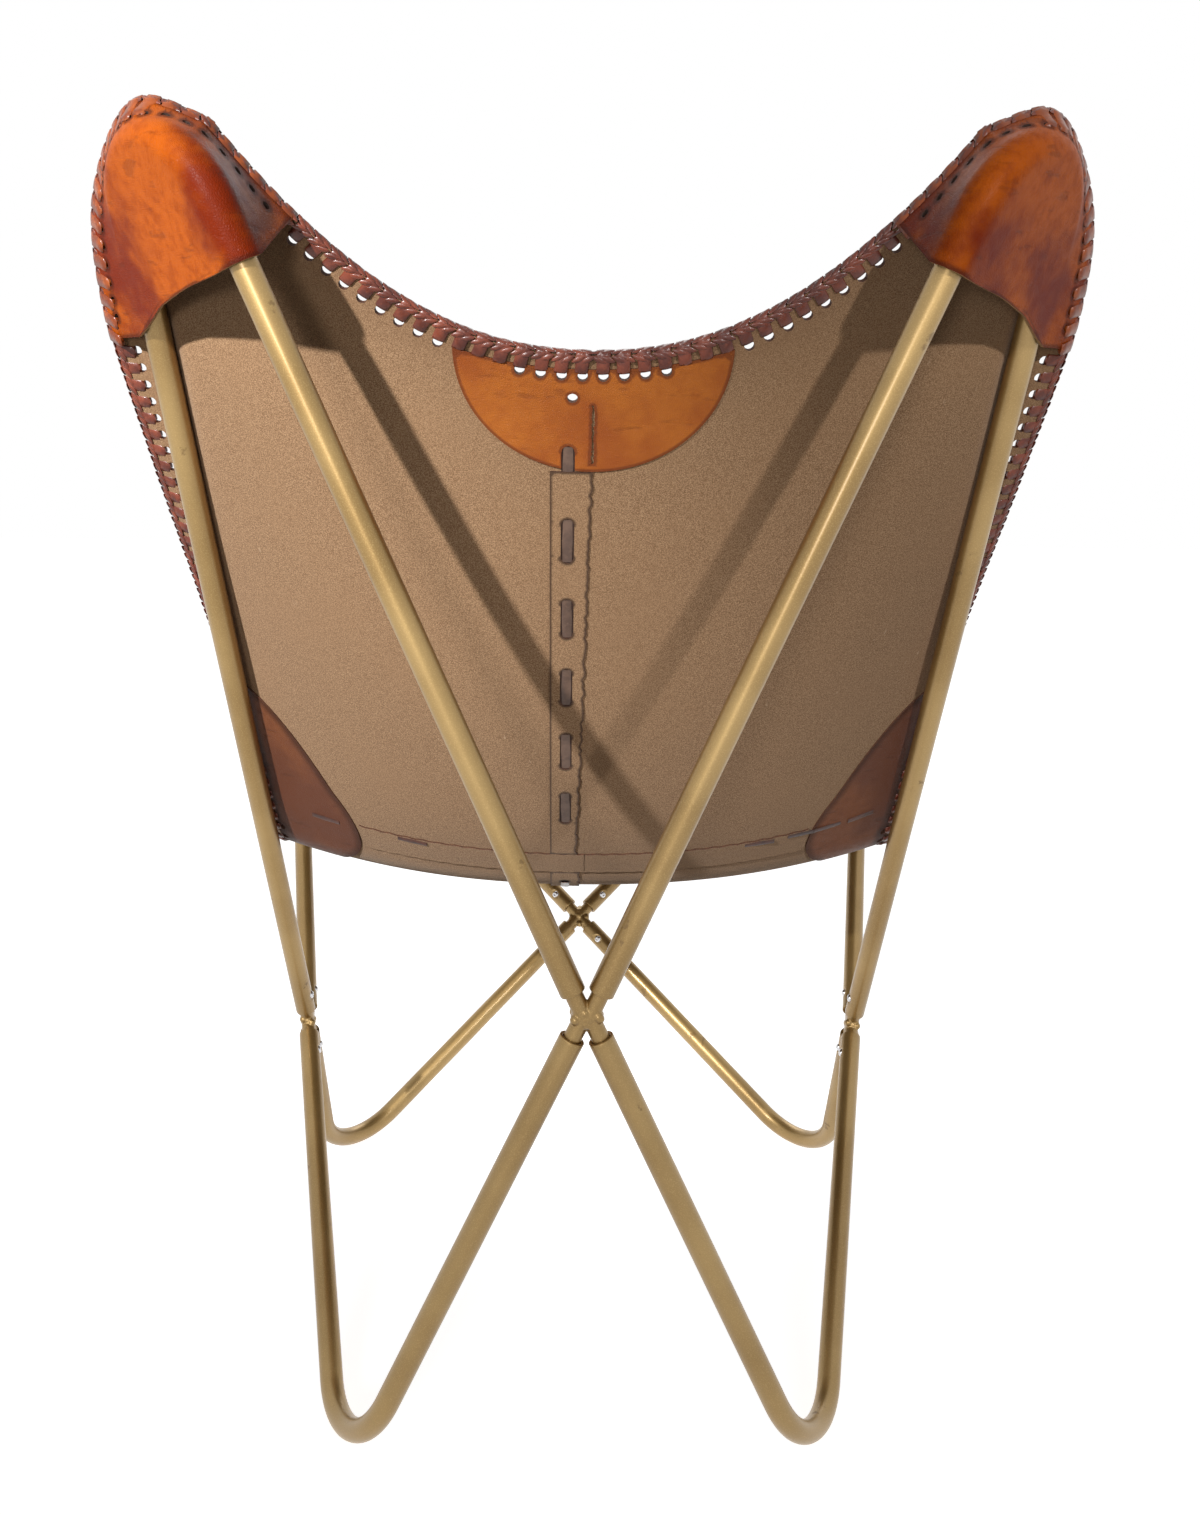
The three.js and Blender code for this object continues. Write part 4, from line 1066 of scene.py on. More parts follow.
def spots_of(point, out, along, kind=0, spread=(1, 1, 1)):
    count = len(point)
    return {"point": point, "out": out, "along": along, "kind": np.broadcast_to(kind, count),
            "spread": np.broadcast_to(np.asarray(spread, float), (count, 3))}


def stacked(*groups):
    return {key: np.concatenate([g[key] for g in groups]) for key in groups[0]}


SCREW_SEAT = TUBE_RADIUS - DIMPLE_DEPTH + 0.05
SCREW_SHANK = 1.6
SCREW_END = 2.6  # inner end of the screw, from the tube's axis
# Dome of a screw and the socket in it, as radius and height over the seat
SCREW_DOME = ((3.45, 0), (3.45, 0.5), (3.15, 1.3), (2.5, 1.95), (1.7, 2.35),
              (1.35, 2.3), (1.25, 1.3), (0, 1.1))
screw_profile = [(0, SCREW_END), (SCREW_SHANK, SCREW_END), (SCREW_SHANK, SCREW_SEAT)]
screw_profile += [(radius, SCREW_SEAT + height) for radius, height in SCREW_DOME]
screw_shape = piece_from("screw_shape", *lathe(screw_profile, 20), [STEEL])
spots = [(seat * flip, out * flip, unit(RODS[tube].corner - seat) * flip)
         for tube in RODS for seat, out in screw_seats(tube) for flip in map(flip_to, SIDES.values())]
screws = repeated("dome_screws", [screw_shape], spots_of(*np.swapaxes(spots, 0, 1)), STEEL, sharp=35)
place(screws, "screw_steel", *[f"screw_{cross}_{i}" for cross in CROSSES for i in (1, 2, 3, 4)])


# Sling panels

PANEL_NET = 5.5
PANEL_EDGE = 3.0
EXTRA_HOLE_PLACE = (12.5, 27.5)  # sideways and down, beside the seam near the top


def sling_piece(outline, holes, step, thickness, lift=0.0):
    """Sheet cut out on the table and laid on the sling, with its gaps to the rim and to its cuts."""
    flat, faces = cut_out(outline, holes, step)
    points = surface(*from_table(flat))
    layers, faces, slots = thicken(points, faces, thickness, lift)
    cuts = gap_to(flat, np.vstack([outline, *holes]))
    return layers, faces, slots, np.tile(rim_gap(points), 2), np.tile(cuts, 2)


def add_pair(name, node, made, finishes, slot, sharp=45):
    pieces = []
    for side, sign in SIDES.items():
        layers, faces, slots, gaps, edge = made[side] if isinstance(made, dict) else made
        p, f = (layers, faces) if sign > 0 else mirrored(layers, faces)
        piece = piece_from(f"{name}_{side}", p, f, finishes, slots, sharp, rim_gap=gaps, edge_gap=edge)
        pieces.append(place(piece, slot, f"{node}_{side}"))
    return pieces


hole_angles = ring_angles(HOLE_SIDES)
EXTRA_HOLE = side_to_table(EXTRA_HOLE_PLACE[0] + HOLE_RADIUS * np.cos(hole_angles),
                           EXTRA_HOLE_PLACE[1] + HOLE_RADIUS * 0.9 * np.sin(hole_angles))
panels = {}
for name, ribs in {"back": (0, SEAM_RIB - SEAM_RIB_GAP), "seat": (SEAM_RIB + SEAM_RIB_GAP, LAST_RIB)}.items():
    low, high = (float(distance_at(rib)) for rib in ribs)
    outline = dense([(SEAM_HALF_GAP, low), (CUT_WIDTH, low), (CUT_WIDTH, high), (SEAM_HALF_GAP, high)],
                    PANEL_EDGE)
    holes = [h for h in HOLES if h[:, 1].min() > low + 1 and h[:, 1].max() < high - 1 and h[:, 0].min() > 2]
    extra = [EXTRA_HOLE] if name == "back" else []
    made = {"left": sling_piece(outline, holes + extra, PANEL_NET, LEATHER),
            "right": sling_piece(outline, holes, PANEL_NET, LEATHER)}
    panels[name] = add_pair(f"sling_leather_{name}", f"sling_{name}", made,
                            [SUEDE, SEAT_GRAIN, DARK_EDGE], "suede")


# Pockets over the wing tips

POCKET_ROWS = 61
BAND_ROWS = 4  # the flat band along the edge of a pocket
TAUT_ROWS = 5
WRAP_ROWS = 9  # round the tube
BETWEEN = 9  # columns between the two tubes
SOFTEN_ROUNDS = 24
ROW_STEP = 4.0
# How far the mouth is cut back, from the side tube to the edge tube
MOUTH_CUT = ((0, 0), (0.3, 6), (0.65, 4), (1, 0))
BAND_LEANS = []  # distance along the rim and the lean of the pocket there


def pocket_half(distances, places, wing):
    """Rows of points from the rim over the outside and round the tube, one row a station."""
    s = rim_stations(distances)
    back = -wing.inside
    rim = s["point"] + s["normal"] * POCKET_LIFT
    spot, direction = wing.rod.at(places)
    outward = spot - wing.middle
    outward = outward - back * dot(outward, back)[:, None]
    outward = unit(outward - direction * dot(outward, direction)[:, None])
    reach = rim - spot
    height, width = dot(reach, back), dot(reach, outward)
    gap = np.maximum(np.hypot(height, width), POCKET_WRAP_RADIUS)
    start = np.minimum(np.arctan2(height, width) + np.arccos(POCKET_WRAP_RADIUS / gap), POCKET_LAST_START)
    leave = spot + POCKET_WRAP_RADIUS * (outward * np.cos(start)[:, None] + back * np.sin(start)[:, None])
    taut = leave - rim
    taut_length = np.linalg.norm(taut, axis=1, keepdims=True)
    band = rim + taut * np.minimum(POCKET_BAND / taut_length, POCKET_BAND_SHARE)
    rows = [lerp(rim, band, k / (BAND_ROWS - 1)) for k in range(BAND_ROWS)]
    BAND_LEANS.extend(zip(distances, np.arctan2(dot(taut, s["normal"]), dot(taut, s["inward"]))))
    rows += [lerp(band, leave, k / (TAUT_ROWS + 1)) for k in range(1, TAUT_ROWS + 1)]
    for share in np.linspace(0, 1, WRAP_ROWS):
        angle = lerp(start, math.pi / 2, share)[:, None]
        rows.append(spot + POCKET_WRAP_RADIUS * (outward * np.cos(angle) + back * np.sin(angle)))
    return np.stack(rows, 1)


def rim_distance(u, v):
    """Distance along the rim of the place nearest to a share and a rib."""
    return float(RIM_DISTANCES[np.argmin(np.abs(RIM[:, 0] - u) * 20 + np.abs(RIM[:, 1] - v))])


def clear_of_tube(points, wing):
    spot = wing.rod.nearest(points)[0]
    offset = points - spot
    gap = np.linalg.norm(offset, axis=-1, keepdims=True)
    return spot + offset * np.maximum(gap, POCKET_WRAP_RADIUS) / np.maximum(gap, 1e-6)


def tip_pocket(end):
    """Pocket over a wing tip, cut from a net of points with its lace holes punched."""
    wing = WINGS[end]
    rod = wing.rod
    mouth = BACK_MOUTH if end == "back" else FRONT_MOUTH
    last_rib, tip_rib = (0, BACK_TIP_RIB) if end == "back" else (LAST_RIB, FRONT_TIP_RIB)
    mouth_side = rim_distance(1, mouth["rib"])
    mouth_edge = rim_distance(mouth["share"], last_rib)
    tip = rim_distance(1, tip_rib)
    apex = rod.straights[0] + rod.radius * rod.turn / 2
    first = np.linalg.norm(rod.corner - rod.start) - mouth["on_tube"][0]
    second = rod.length - np.linalg.norm(rod.corner - rod.end) + mouth["on_tube"][1]
    shares = np.linspace(0, 1, POCKET_ROWS)
    side = pocket_half(lerp(mouth_side, tip, shares), lerp(first, apex, shares), wing)
    edge = pocket_half(lerp(mouth_edge, tip, shares), lerp(second, apex, shares), wing)
    half = side.shape[1]
    between = np.stack([lerp(side[:, -1], edge[:, -1], (k + 1) / (BETWEEN + 1)) for k in range(BETWEEN)], 1)
    grid = np.concatenate([side, between, edge[:, ::-1]], 1)
    rows, columns = grid.shape[:2]
    held = np.zeros((rows, columns), bool)
    held[:, :BAND_ROWS] = held[:, -BAND_ROWS:] = True
    held[0] = held[-1] = True
    for _ in range(SOFTEN_ROUNDS):
        middle = (np.roll(grid, 1, 0) + np.roll(grid, -1, 0) + np.roll(grid, 1, 1) + np.roll(grid, -1, 1)) / 4
        grid = np.where(held[..., None], grid, lerp(grid, middle, 0.5))
        grid = np.where(held[..., None], grid, clear_of_tube(grid, wing))
    ends = (half - WRAP_ROWS, half + BETWEEN + WRAP_ROWS)
    cut_at = [ends[0], *(half - 1 + (BETWEEN + 1) * share for share, _ in MOUTH_CUT), ends[1]]
    cut = np.interp(np.arange(columns), cut_at, [0, *(depth for _, depth in MOUTH_CUT), 0])
    long = np.linalg.norm(np.diff(grid, axis=0), axis=2).sum(0)
    start = cut / np.maximum(long, 1) * (rows - 1)

    column_step = POCKET_BAND / (BAND_ROWS - 1)
    width, height = (columns - 1) * column_step, (rows - 1) * ROW_STEP
    outline = dense([(0, 0), (width, 0), (width, height), (0, height)], 3.5)
    holes = []
    for mouth_at, on_left in ((mouth_side, True), (mouth_edge, False)):
        low, high = sorted((mouth_at, tip))
        for distance in LACE_DISTANCES[(LACE_DISTANCES > low + 5) & (LACE_DISTANCES < high - 4)]:
            row = (distance - mouth_at) / (tip - mouth_at) * height
            stretch = height / abs(tip - mouth_at)
            column = HOLE_IN if on_left else width - HOLE_IN
            holes.append(np.stack([column + POCKET_HOLE_RADIUS * np.cos(hole_angles),
                                   row + POCKET_HOLE_RADIUS * stretch * np.sin(hole_angles)], -1))
    flat, faces = cut_out(outline, holes, 4.0)
    across, down = flat[:, 0] / column_step, flat[:, 1] / ROW_STEP
    j = np.clip(across.astype(int), 0, columns - 2)
    down = down + np.interp(across, np.arange(columns), start) * (1 - down / (rows - 1))
    i = np.clip(down.astype(int), 0, rows - 2)
    s, t = (across - j)[:, None], (down - i)[:, None]
    points = lerp(lerp(grid[i, j], grid[i, j + 1], s), lerp(grid[i + 1, j], grid[i + 1, j + 1], s), t)
    return weld(points, faces)


def hole_points(faces):
    """Points on the small closed edges, the punched holes."""
    home = {}
    for a, b in open_edges(faces):
        group = home.get(a, {a}) | home.get(b, {b})
        for i in group:
            home[i] = group
    return {i for i, group in home.items() if len(group) <= HOLE_SIDES}


for end in WINGS:
    points, faces = tip_pocket(end)
    if dot(point_normals(points, faces), -WINGS[end].inside).mean() < 0:
        faces = [tuple(reversed(f)) for f in faces]
    cut_places = np.array([points[i] for edge in open_edges(faces) for i in edge])
    gap = np.tile(gap_to(points, cut_places), 2)
    punched = hole_points(faces)
    layers, faces, slots = thicken(points, faces, POCKET_LEATHER)
    # Walls of the punched holes take the near-black painted shade
    slots = [3 if kind == 2 and {i % len(points) for i in face} <= punched else kind
             for kind, face in zip(slots, faces)]
    add_pair(f"tip_pocket_{end}", f"pocket_{end}", (layers, faces, slots, gap, gap),
             [POCKET_GRAIN, DARK_EDGE, PALE_EDGE, HOLE_WALL_SHADE], "grain_leather", 50)


# Patches, strips and flaps

SLOT_PLACES = [(59, 83), (109, 141), (168, 199), (224, 256), (281, 316), (340, 374), (408, 437)]
SEAT_SLOTS = [(SEAM_DISTANCE + 20 + 48 * i, SEAM_DISTANCE + 52 + 48 * i) for i in range(9)]
SEAT_SLOTS = [s for s in SEAT_SLOTS if s[1] < SLING_LENGTH - 25]
SLOT_HALF = 4.3
SLIT = (32, 71)  # the seam shows through the top patch between these distances
TRIM_NET = 4.0
STRIP_NET = 3.5
STRIP_RIM = 30  # keeps the painted shade along the rim off the strips


def slot_outline(low, high):
    """Rounded slot beside the middle seam, as table points."""
    ends = []
    for middle, sign in ((high - SLOT_HALF, 1), (low + SLOT_HALF, -1)):
        for angle in np.linspace(0, math.pi, 7):
            ends.append((STRIP_SIDE + sign * SLOT_HALF * math.cos(angle),
                         middle + sign * SLOT_HALF * math.sin(angle)))
    return side_to_table(*np.array(ends).T)


def half_oval(top, bottom, half_width):
    angles = np.linspace(0, math.pi, 41)
    return side_to_table(half_width * np.cos(angles), top + (bottom - top) * np.sin(angles))


def trim_sheet(outline, holes=(), step=TRIM_NET):
    return sling_piece(outline, list(holes), step, TRIM_LEATHER, TRIM_LIFT)


def trim_piece(name, node, made, finish, slot, from_rim=0):
    layers, faces, slots, gaps, edge = made
    piece = piece_from(name, layers, faces, [finish, DARK_EDGE, DARK_EDGE], slots,
                       rim_gap=gaps + from_rim, edge_gap=edge)
    return place(piece, slot, node)


crest = dense(half_oval(TRIM_IN, CENTRE_PATCH_DEPTH, CENTRE_PATCH_HALF_WIDTH))
near_top = [h for h in HOLES if h[:, 1].max() < 30 and h[:, 0].max() < CENTRE_PATCH_HALF_WIDTH * 1.4]
near_top += [h * np.array([-1, 1]) for h in near_top]
near_top = [h for h in near_top if within(h, crest).all()] + [EXTRA_HOLE]
downs = np.arange(*SLIT, 1.6)
random = np.random.default_rng(5)
slit_sides = [middle + random.uniform(-0.5, 0.5, len(downs)) for middle in (-1.2, 0.3)]
slit = side_to_table(np.concatenate(slit_sides), np.concatenate([downs, downs[::-1]]))
trim_piece("crest_patch", "patch_back_centre",
           trim_sheet(crest, [*near_top, slot_outline(*SLOT_PLACES[0]), slit]), PATCH_GRAIN, "grain_leather")


def spine_strip(name, node, low, high, slots, ends):
    """Strip beside the middle seam; its cut side runs raggedly between the two ends."""
    right = STRIP_SIDE + STRIP_WIDTH / 2
    downs = np.arange(low, high, 3.2)
    random = np.random.default_rng(11)
    left = np.linspace(*ends, len(downs))
    ragged = left + random.uniform(-1, 1, len(downs))
    outline = np.vstack([side_to_table(np.full(len(downs), right), downs),
                         side_to_table([right, left[-1]], [high, high]), side_to_table(ragged, downs)[::-1]])
    made = trim_sheet(dense(outline), [slot_outline(*s) for s in slots], STRIP_NET)
    trim_piece(name, node, made, STRIP_SUEDE, "suede", STRIP_RIM)


spine_strip("spine_strip_back", "seam_strip_back", CENTRE_PATCH_DEPTH + 0.5, SEAM_DISTANCE - FLAP_ABOVE - 0.5,
            [s for s in SLOT_PLACES[1:] if s[1] < SEAM_DISTANCE - 22], (-0.5, 6.5))
spine_strip("spine_strip_seat", "seam_strip_seat", SEAM_DISTANCE + FLAP_BELOW + 0.5, SLING_LENGTH - 11,
            SEAT_SLOTS, (4, 4))


def waist_patch():
    angles = np.linspace(-math.pi / 2, math.pi / 2, 41)
    v = SEAM_RIB + SIDE_PATCH_RIBS * np.sin(angles)
    width = rib_curve(RIM_POINTS, v)[:, 0]
    outer = 1 - TRIM_IN / width
    inner = outer - SIDE_PATCH_WIDTH * np.cos(angles) / width
    table = np.vstack([to_table(inner, v), to_table(outer, v)[::-1][1:-1]])
    return dense(table, 3.0)


waist = waist_patch()
waist_holes = [h for h in HOLES if within(h, waist).all()]
add_pair("waist_patch", "patch_side", trim_sheet(waist, waist_holes),
         [SHADED_SIDE_GRAIN, DARK_EDGE, DARK_EDGE], "grain_leather")


def waist_flap():
    width = float(rib_curve(RIM_POINTS, np.array(float(SEAM_RIB)))[0])
    last = (1 - (TRIM_IN + SIDE_PATCH_WIDTH + 1.5) / width) * CUT_WIDTH
    xs = np.linspace(0.3, last, 60)
    scallop = 0.5 * np.sin(xs * 0.42)
    return np.vstack([np.stack([xs, SEAM_DISTANCE - FLAP_ABOVE + scallop], -1),
                      np.stack([xs[::-1], SEAM_DISTANCE + FLAP_BELOW - scallop], -1)])


add_pair("waist_flap", "seam_flap", trim_sheet(dense(waist_flap(), 3.0)),
         [SUEDE, DARK_EDGE, DARK_EDGE], "suede")


# Lacing round the free edge

LACE_THICK = 1.0
LACE_SKEW = 2.0  # a turn's ends lie this far apart along the rim
TAB_WIDTH = 8.2
# Lace from its hole over the outside, and along the inside to the next hole: (inward, out) places
LACE_OUTSIDE = np.array([(HOLE_IN - 3.1, -2.2), (HOLE_IN - 2.2, -0.1), (HOLE_IN - 3.2, 0.35),
                         (6.5, 0.35), (1.0, 0.45)])
LACE_INSIDE = [(-1.6, -0.9), (0.8, -1.95), (HOLE_IN - 3.2, -1.9), (HOLE_IN - 2.4, -0.2)]
LACE_WIDTHS = np.array([0.8, 0.95, 1, 1, 1.1, 1.2, 1.2, 1.1, 1, 0.85]) * TAB_WIDTH


def capped(points, size):
    """Closed shape from rows of points round a section, with a flat face at each end."""
    points = np.array(points)
    last = len(points) - size
    faces = grid_faces(len(points) // size, size, closed=True)
    faces += [tuple(range(size))[::-1], tuple(last + j for j in range(size))]
    return points, facing_out(points, faces)


def ribbon(path, widths):
    """Closed strap with a crowned back along (inward, out) points."""
    path = np.array(path, float)
    ahead = unit(np.gradient(path, axis=0))
    up = np.stack([-ahead[:, 1], ahead[:, 0]], -1)
    section = [(-1, 0), (-0.86, 0.8), (0, 1), (0.86, 0.8), (1, 0), (0, -0.1)]
    points = []
    for i, (p, n) in enumerate(zip(path, up)):
        slide = LACE_SKEW * (i / (len(path) - 1) - 0.5)
        for across, rise in section:
            q = p + n * rise * LACE_THICK
            points.append((across * widths[i] / 2 + slide, q[0], q[1]))
    return capped(points, len(section))


def turn_shape(name, top, lean=0.0, finish=LACE):
    """Lace from its hole over the edge and back to the next hole on the inside."""
    turned = LACE_OUTSIDE @ np.array([(math.cos(lean), math.sin(lean)), (-math.sin(lean), math.cos(lean))])
    path = [*(turned + (0, top)), (-1.5, top - 0.8), *LACE_INSIDE]
    return piece_from(name, *ribbon(path[::-1], LACE_WIDTHS[::-1]), [finish])


def leaf_shape(name, length, width, thick, tip=0.12):
    """Flat strand of lace whose ends are narrowed to the share of the tip."""
    rows = [(-1, tip), (-0.6, max(0.75, tip)), (0, 1), (0.6, max(0.75, tip)), (1, tip)]
    section = [(-1, 0), (-0.55, 0.8), (0.55, 0.8), (1, 0), (0, -0.5)]
    points = [(s * length / 2, a * wide * width / 2, h * thick * (0.45 + 0.55 * wide)) for s, wide in rows
              for a, h in section]
    return piece_from(name, *capped(points, len(section)), [LACE])


PLAIN_TOP = LEATHER / 2
POCKET_TOP = POCKET_LIFT + POCKET_LEATHER / 2
TURN_LEANS = np.linspace(0.1, 1.5, 8)
pocket_turns = [turn_shape(f"pocket_turn_shape_{i}", POCKET_TOP - 0.5, lean, POCKET_LACE)
                for i, lean in enumerate(TURN_LEANS)]
PLAIN_TURN, PLAIT_LEAF, PATCH_TURN = range(3)
shapes = [turn_shape("lace_turn_shape", PLAIN_TOP),
          leaf_shape("plait_leaf_shape", length=8.8, width=3.7, thick=0.9),
          turn_shape("lace_turn_patch_shape", TRIM_TOP)]

FIRST_POCKET_TURN = 10  # kinds from here up lean over a pocket
PLAIT_STEP = LACE_STEP / 2
PLAIT_TILT = math.radians(26)


def edge_spots(chosen, sign):
    """Lace turns and plait strands for the chosen stretch of the rim on one side."""
    flip = flip_to(sign)
    keep = chosen(LACE_DISTANCES)
    s = {k: LACES[k][keep] for k in ("u", "v", "point", "normal", "inward", "along")}
    kind = np.where(over_patch(s["u"], s["v"], LACE_DISTANCES[keep]), PATCH_TURN, PLAIN_TURN)
    leans = np.array(sorted(BAND_LEANS))
    lean = np.interp(LACE_DISTANCES[keep], leans[:, 0], leans[:, 1])
    nearest = np.abs(lean[:, None] - TURN_LEANS).argmin(1)
    kind = np.where(over_pocket(s["u"], s["v"]), FIRST_POCKET_TURN + nearest, kind)
    # A shape's X runs along the rim and its Y inward, so X is the inward turned round the normal
    ahead = np.cross(s["inward"] * flip, s["normal"] * flip)
    groups = [spots_of(s["point"] * flip, s["normal"] * flip, ahead, kind)]
    distances = np.arange(PLAIT_STEP / 2, RIM_LENGTH, PLAIT_STEP)
    distances = distances[chosen(distances)]
    r = rim_stations(distances)
    top = np.where(over_pocket(r["u"], r["v"]), POCKET_TOP, PLAIN_TOP)[:, None]
    top = np.where(over_patch(r["u"], r["v"], distances)[:, None], TRIM_TOP, top)
    along = r["along"]
    # Inset from the edge, rise over the outside, lean towards the edge and tilt of each row of strands
    rows = ((2.2, 1.15, 0.1, PLAIT_TILT), (-1.7, -0.5 * top, 1.35, -PLAIT_TILT),
            (1.6, -top - PLAIN_TOP - 1.1, math.pi, PLAIT_TILT))
    for inset, rise, lean, tilt in rows:
        out = unit(r["normal"] * math.cos(lean) - r["inward"] * math.sin(lean))
        side = np.cross(out, along)
        towards = np.sign(dot(side, r["inward"] + r["normal"]))[:, None]
        way = unit(along * math.cos(tilt) + side * math.sin(tilt) * towards)
        point = r["point"] + r["inward"] * inset + r["normal"] * (top + rise)
        groups.append(spots_of(point * flip, out * flip, way * flip, PLAIT_LEAF))
    return stacked(*groups)


TOP_TIP = rim_distance(1, BACK_TIP_RIB)
FRONT_TIP = rim_distance(1, FRONT_TIP_RIB)
stretches = {"back": lambda d: d < TOP_TIP, "front": lambda d: d > FRONT_TIP,
             "side": lambda d: (d >= TOP_TIP) & (d <= FRONT_TIP)}


def of_kind(spots, over):
    """The spots over the pockets, numbered from 0, or the others."""
    chosen = {key: values[(spots["kind"] >= FIRST_POCKET_TURN) == over] for key, values in spots.items()}
    return {**chosen, "kind": chosen["kind"] - FIRST_POCKET_TURN * over}


for name, chosen in stretches.items():
    groups = {side: edge_spots(chosen, sign) for side, sign in SIDES.items()}
    for side, spots in groups.items():
        node = f"edge_braid_{side}" if name == "side" else f"edge_braid_{name}"
        part = side if name == "side" else f"{name}_{side}"
        turns = repeated(f"pocket_lacing_{part}", pocket_turns, of_kind(spots, True), POCKET_LACE,
                         sway=0.03, seed=7)
        place(turns, "lace_leather", node)
        groups[side] = of_kind(spots, False)
    if name == "side":
        for side, spots in groups.items():
            place(repeated(f"edge_lacing_{side}", shapes, spots, LACE, sway=0.05, seed=3),
                  "lace_leather", f"edge_braid_{side}")
    else:
        place(repeated(f"edge_lacing_{name}", shapes, stacked(*groups.values()), LACE, sway=0.05, seed=5),
              "lace_leather", f"edge_braid_{name}")


# Lace dashes in the slots and along the seams

DASH_LENGTH = 10
SHADE_SHEET_THICK = 0.2


def dash_spots(sides, downs, along_seam, lift, spread):
    """Dashes on the outside at real distances sideways and down, pointing along the seam or across."""
    u, v = from_table(side_to_table(sides, downs))
    du, dv = slopes(u, v)
    normal = unit(np.cross(du, dv))
    return spots_of(surface(u, v) + normal * lift, normal, unit(dv if along_seam else du), 0, spread)


dash_shape = leaf_shape("slot_lace_shape", DASH_LENGTH, width=5.0, thick=0.5, tip=0.9)
groups, shade_sheets = [], []
for low, high in [*SLOT_PLACES, *SEAT_SLOTS]:
    groups.append(dash_spots([STRIP_SIDE], [(low + high) / 2], True, LEATHER / 2 + 0.6,
                             ((high - low) / (DASH_LENGTH + 0.6), 1.4, 1)))
    flat, faces = cut_out(dense(slot_outline(low + 0.05, high - 0.05), 3.0), [], 3.0)
    shade_sheets.append(thicken(surface(*from_table(flat)), faces, SHADE_SHEET_THICK, LEATHER / 2 + SHADE_SHEET_THICK)[:2])
place(repeated("spine_laces", [dash_shape], stacked(*groups), WORN_LACE, sway=0.02, seed=4), "lace_leather")

WAIST_DASHES = {"left": (134, 204), "right": (137, 171, 192, 220)}
groups = []
for side, sign in SIDES.items():
    dashes = np.array(WAIST_DASHES[side], float)
    downs = np.full(len(dashes), SEAM_DISTANCE - FLAP_ABOVE + 3)
    spots = dash_spots(dashes, downs, False, TRIM_TOP + 0.2, (2.4, 1.0, 1.2))
    flip = flip_to(sign)
    groups.append({k: (spots[k] * flip if k in ("point", "out", "along") else spots[k]) for k in spots})
place(repeated("waist_laces", [dash_shape], stacked(*groups), DASH_LACE, sway=0.05, seed=6), "lace_leather")

# Thin dark sheets at the bottom of the slots: painted shade in the openings
place(piece_from("slot_beds", *joined(shade_sheets), [HOLE_WALL_SHADE]), "lace_leather")


# Flat sizes of the sling panels as sheets, worked out here and not used further

SHEET_LONGER, SHEET_WIDER = 1.12, 1.08  # a flat sheet over the hanging one, for the tips and the cutting
LEAST_SHEET_WIDTH = 0.36

for name, (low, high) in {"back": (0, SEAM_DISTANCE), "seat": (SEAM_DISTANCE, SLING_LENGTH)}.items():
    for side, piece in zip(SIDES, panels[name]):
        area = sum(p.area for p in piece.data.polygons) / 2
        length = (high - low) * MM * SHEET_LONGER
        width = max(LEAST_SHEET_WIDTH, area / length * SHEET_WIDER)
        wing = f"bent_wing_tube_{'back' if name == 'back' else 'front'}_{side}"
        min(area, width * length)


# Floor, lamps and camera

SEEN_RAYS = ("Is Camera Ray", "Is Glossy Ray", "Is Transmission Ray")
FLOOR_GREY = 0.82
NEAR_GLOW, FAR_GLOW = 0.9, 1.0  # how white the floor is seen under the chair and beyond it
GLOW_REACH = (0.5, 1.5)  # in metres from the middle


def white_room():
    finish = Finish("white_room", Roughness=1.0, Specular_IOR_Level=0.0)
    finish.shader.inputs["Base Color"].default_value = (FLOOR_GREY, FLOOR_GREY, FLOOR_GREY, 1)
    rays = finish.tree.nodes.new("ShaderNodeLightPath").outputs
    looked, glossy, passed = (Wire(finish, rays[name]) for name in SEEN_RAYS)
    apart = finish.node("ShaderNodeVectorMath", {"operation": "LENGTH"}, {0: finish.place}, "Value")
    near, far = ((glow, glow, glow, 1) for glow in (NEAR_GLOW, FAR_GLOW))
    glow = finish.mix(finish.between(apart, *GLOW_REACH), near, far)
    return finish.feed(Emission_Color=glow, Emission_Strength=looked + glossy + passed)


FLOOR_HALF = 7000
FLOOR_HEIGHT = -0.6
floor_points = [(x, y, FLOOR_HEIGHT) for y in (-FLOOR_HALF, FLOOR_HALF) for x in (-FLOOR_HALF, FLOOR_HALF)]
floor = piece_from("white_floor", floor_points, [(0, 1, 3, 2)], [white_room()])

world = bpy.data.worlds.new("soft_room")
bpy.context.scene.world = world
world.use_nodes = True
sky = world.node_tree
rays = sky.nodes.new("ShaderNodeLightPath").outputs
seen = 0
for name in SEEN_RAYS:
    seen = add_node(sky, "ShaderNodeMath", {"operation": "MAXIMUM"}, {0: rays[name], 1: seen})
ROOM_GLOW = 0.06  # what the room gives to the chair; it's seen white
strength = add_node(sky, "ShaderNodeMapRange", None, {"Value": seen, "To Min": ROOM_GLOW, "To Max": 1.0})
backdrop = sky.nodes["Background"]
sky.links.new(strength, backdrop.inputs["Strength"])
backdrop.inputs["Color"].default_value = (1, 1, 1, 1)


def add_lamp(name, kind, where, aim, **settings):
    """Lamp at a place in metres, turned to its aim."""
    data = bpy.data.lights.new(name, kind)
    for key, value in settings.items():
        setattr(data, key, value)
    made = bpy.data.objects.new(name, data)
    made.location = where
    made.rotation_euler = (Vector(aim) - Vector(where)).to_track_quat("-Z", "Y").to_euler()
    bpy.context.scene.collection.objects.link(made)


LAMP_CENTRE = np.array([0, 300, 500.0])


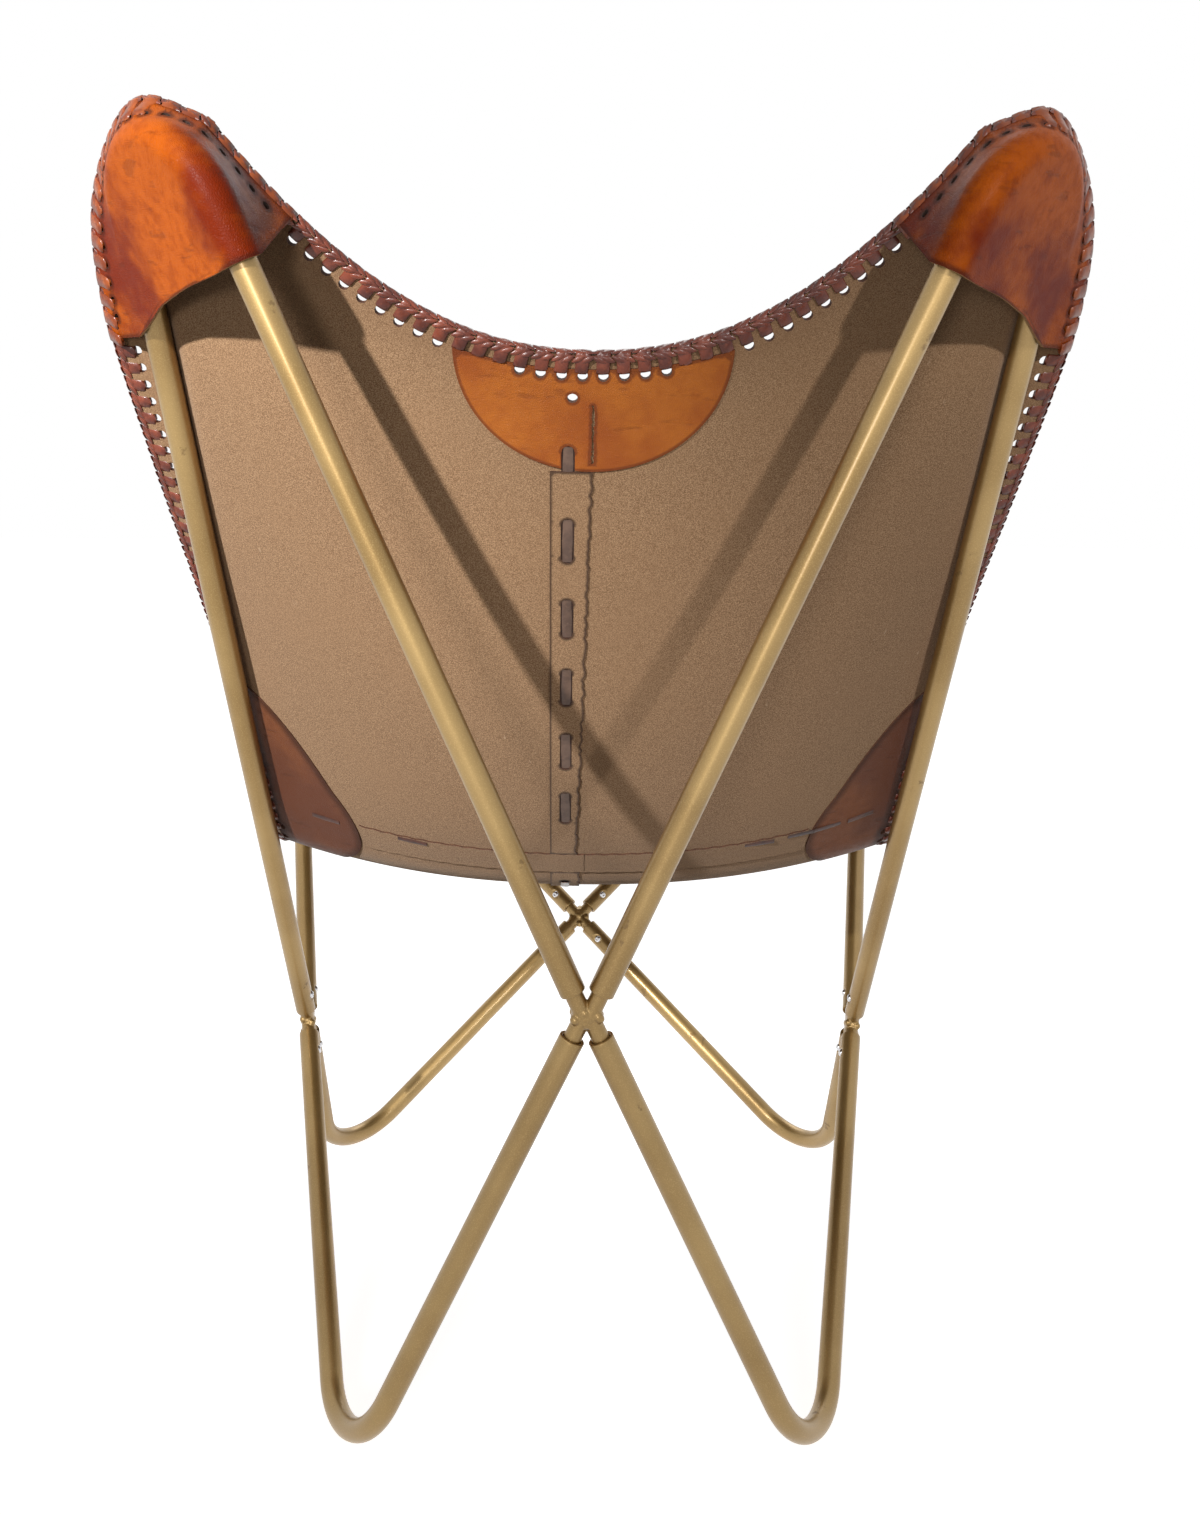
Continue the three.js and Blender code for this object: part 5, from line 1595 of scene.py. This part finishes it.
def spot_lamp(name, turn, climb, distance, aim, watts, radius, cone):
    """Spot lamp behind the chair, turned from straight behind towards +X."""
    turn, climb = math.radians(turn), math.radians(climb)
    way = np.array([math.sin(turn) * math.cos(climb), math.cos(turn) * math.cos(climb), math.sin(climb)])
    add_lamp(name, "SPOT", (LAMP_CENTRE + way * distance) * MM, aim * MM, energy=watts,
             shadow_soft_size=radius * MM, spot_size=math.radians(cone), spot_blend=1.0)


spot_lamp("lamp_plus_x", turn=33, climb=27, distance=2000, aim=np.array([270, 200, 640.0]),
          watts=245, radius=30, cone=28)
spot_lamp("lamp_minus_x", turn=-28, climb=27, distance=1800, aim=np.array([-270, 200, 640.0]),
          watts=54, radius=30, cone=30)
add_lamp("soft_front", "AREA", (-0.4, -2.6, 2.2), (0, 0, 0.45), energy=25, size=1.8)
add_lamp("soft_behind", "AREA", (0.45, 2.6, 0.75), (0, 0.3, 0.5), energy=11, size=0.3)

# Camera: turned half round from the frame in which it was fitted
FOCAL_PIXELS = 1521.10
PICTURE = (1200, 1515)
AIM_PIXEL = (584.716, 724.870)
SENSOR = 36
CAMERA_PLACE = np.array([13.57, 1306.77, 722.85]) * MM
CAMERA_TURNS = (0.6422, 11.7629, 0.6261)
yaw, pitch, roll = (math.radians(a) for a in CAMERA_TURNS)
ahead = np.array([math.sin(yaw) * math.cos(pitch), math.cos(yaw) * math.cos(pitch), -math.sin(pitch)])
right0 = np.array([math.cos(yaw), -math.sin(yaw), 0])
up0 = np.cross(right0, ahead)
right = math.cos(roll) * right0 + math.sin(roll) * up0
upward = -math.sin(roll) * right0 + math.cos(roll) * up0
half_turn = np.array([-1, -1, 1.0])
camera_data = bpy.data.cameras.new("camera")
camera_data.sensor_fit, camera_data.sensor_height = "VERTICAL", SENSOR
camera_data.lens = FOCAL_PIXELS / PICTURE[1] * SENSOR
camera_data.shift_x = (PICTURE[0] / 2 - AIM_PIXEL[0]) / PICTURE[1]
camera_data.shift_y = (AIM_PIXEL[1] - PICTURE[1] / 2) / PICTURE[1]
camera_data.clip_end = 100
camera = bpy.data.objects.new("camera", camera_data)
axes = np.stack([right * half_turn, upward * half_turn, -ahead * half_turn], 1)
camera.matrix_world = Matrix([[*axes[k], CAMERA_PLACE[k]] for k in range(3)] + [[0, 0, 0, 1]])
bpy.context.scene.collection.objects.link(camera)
bpy.context.scene.camera = camera
bpy.context.scene.view_settings.view_transform = "Standard"

for shape in [screw_shape, dash_shape, *shapes, *pocket_turns]:
    bpy.data.objects.remove(shape)

bpy.context.view_layer.update()
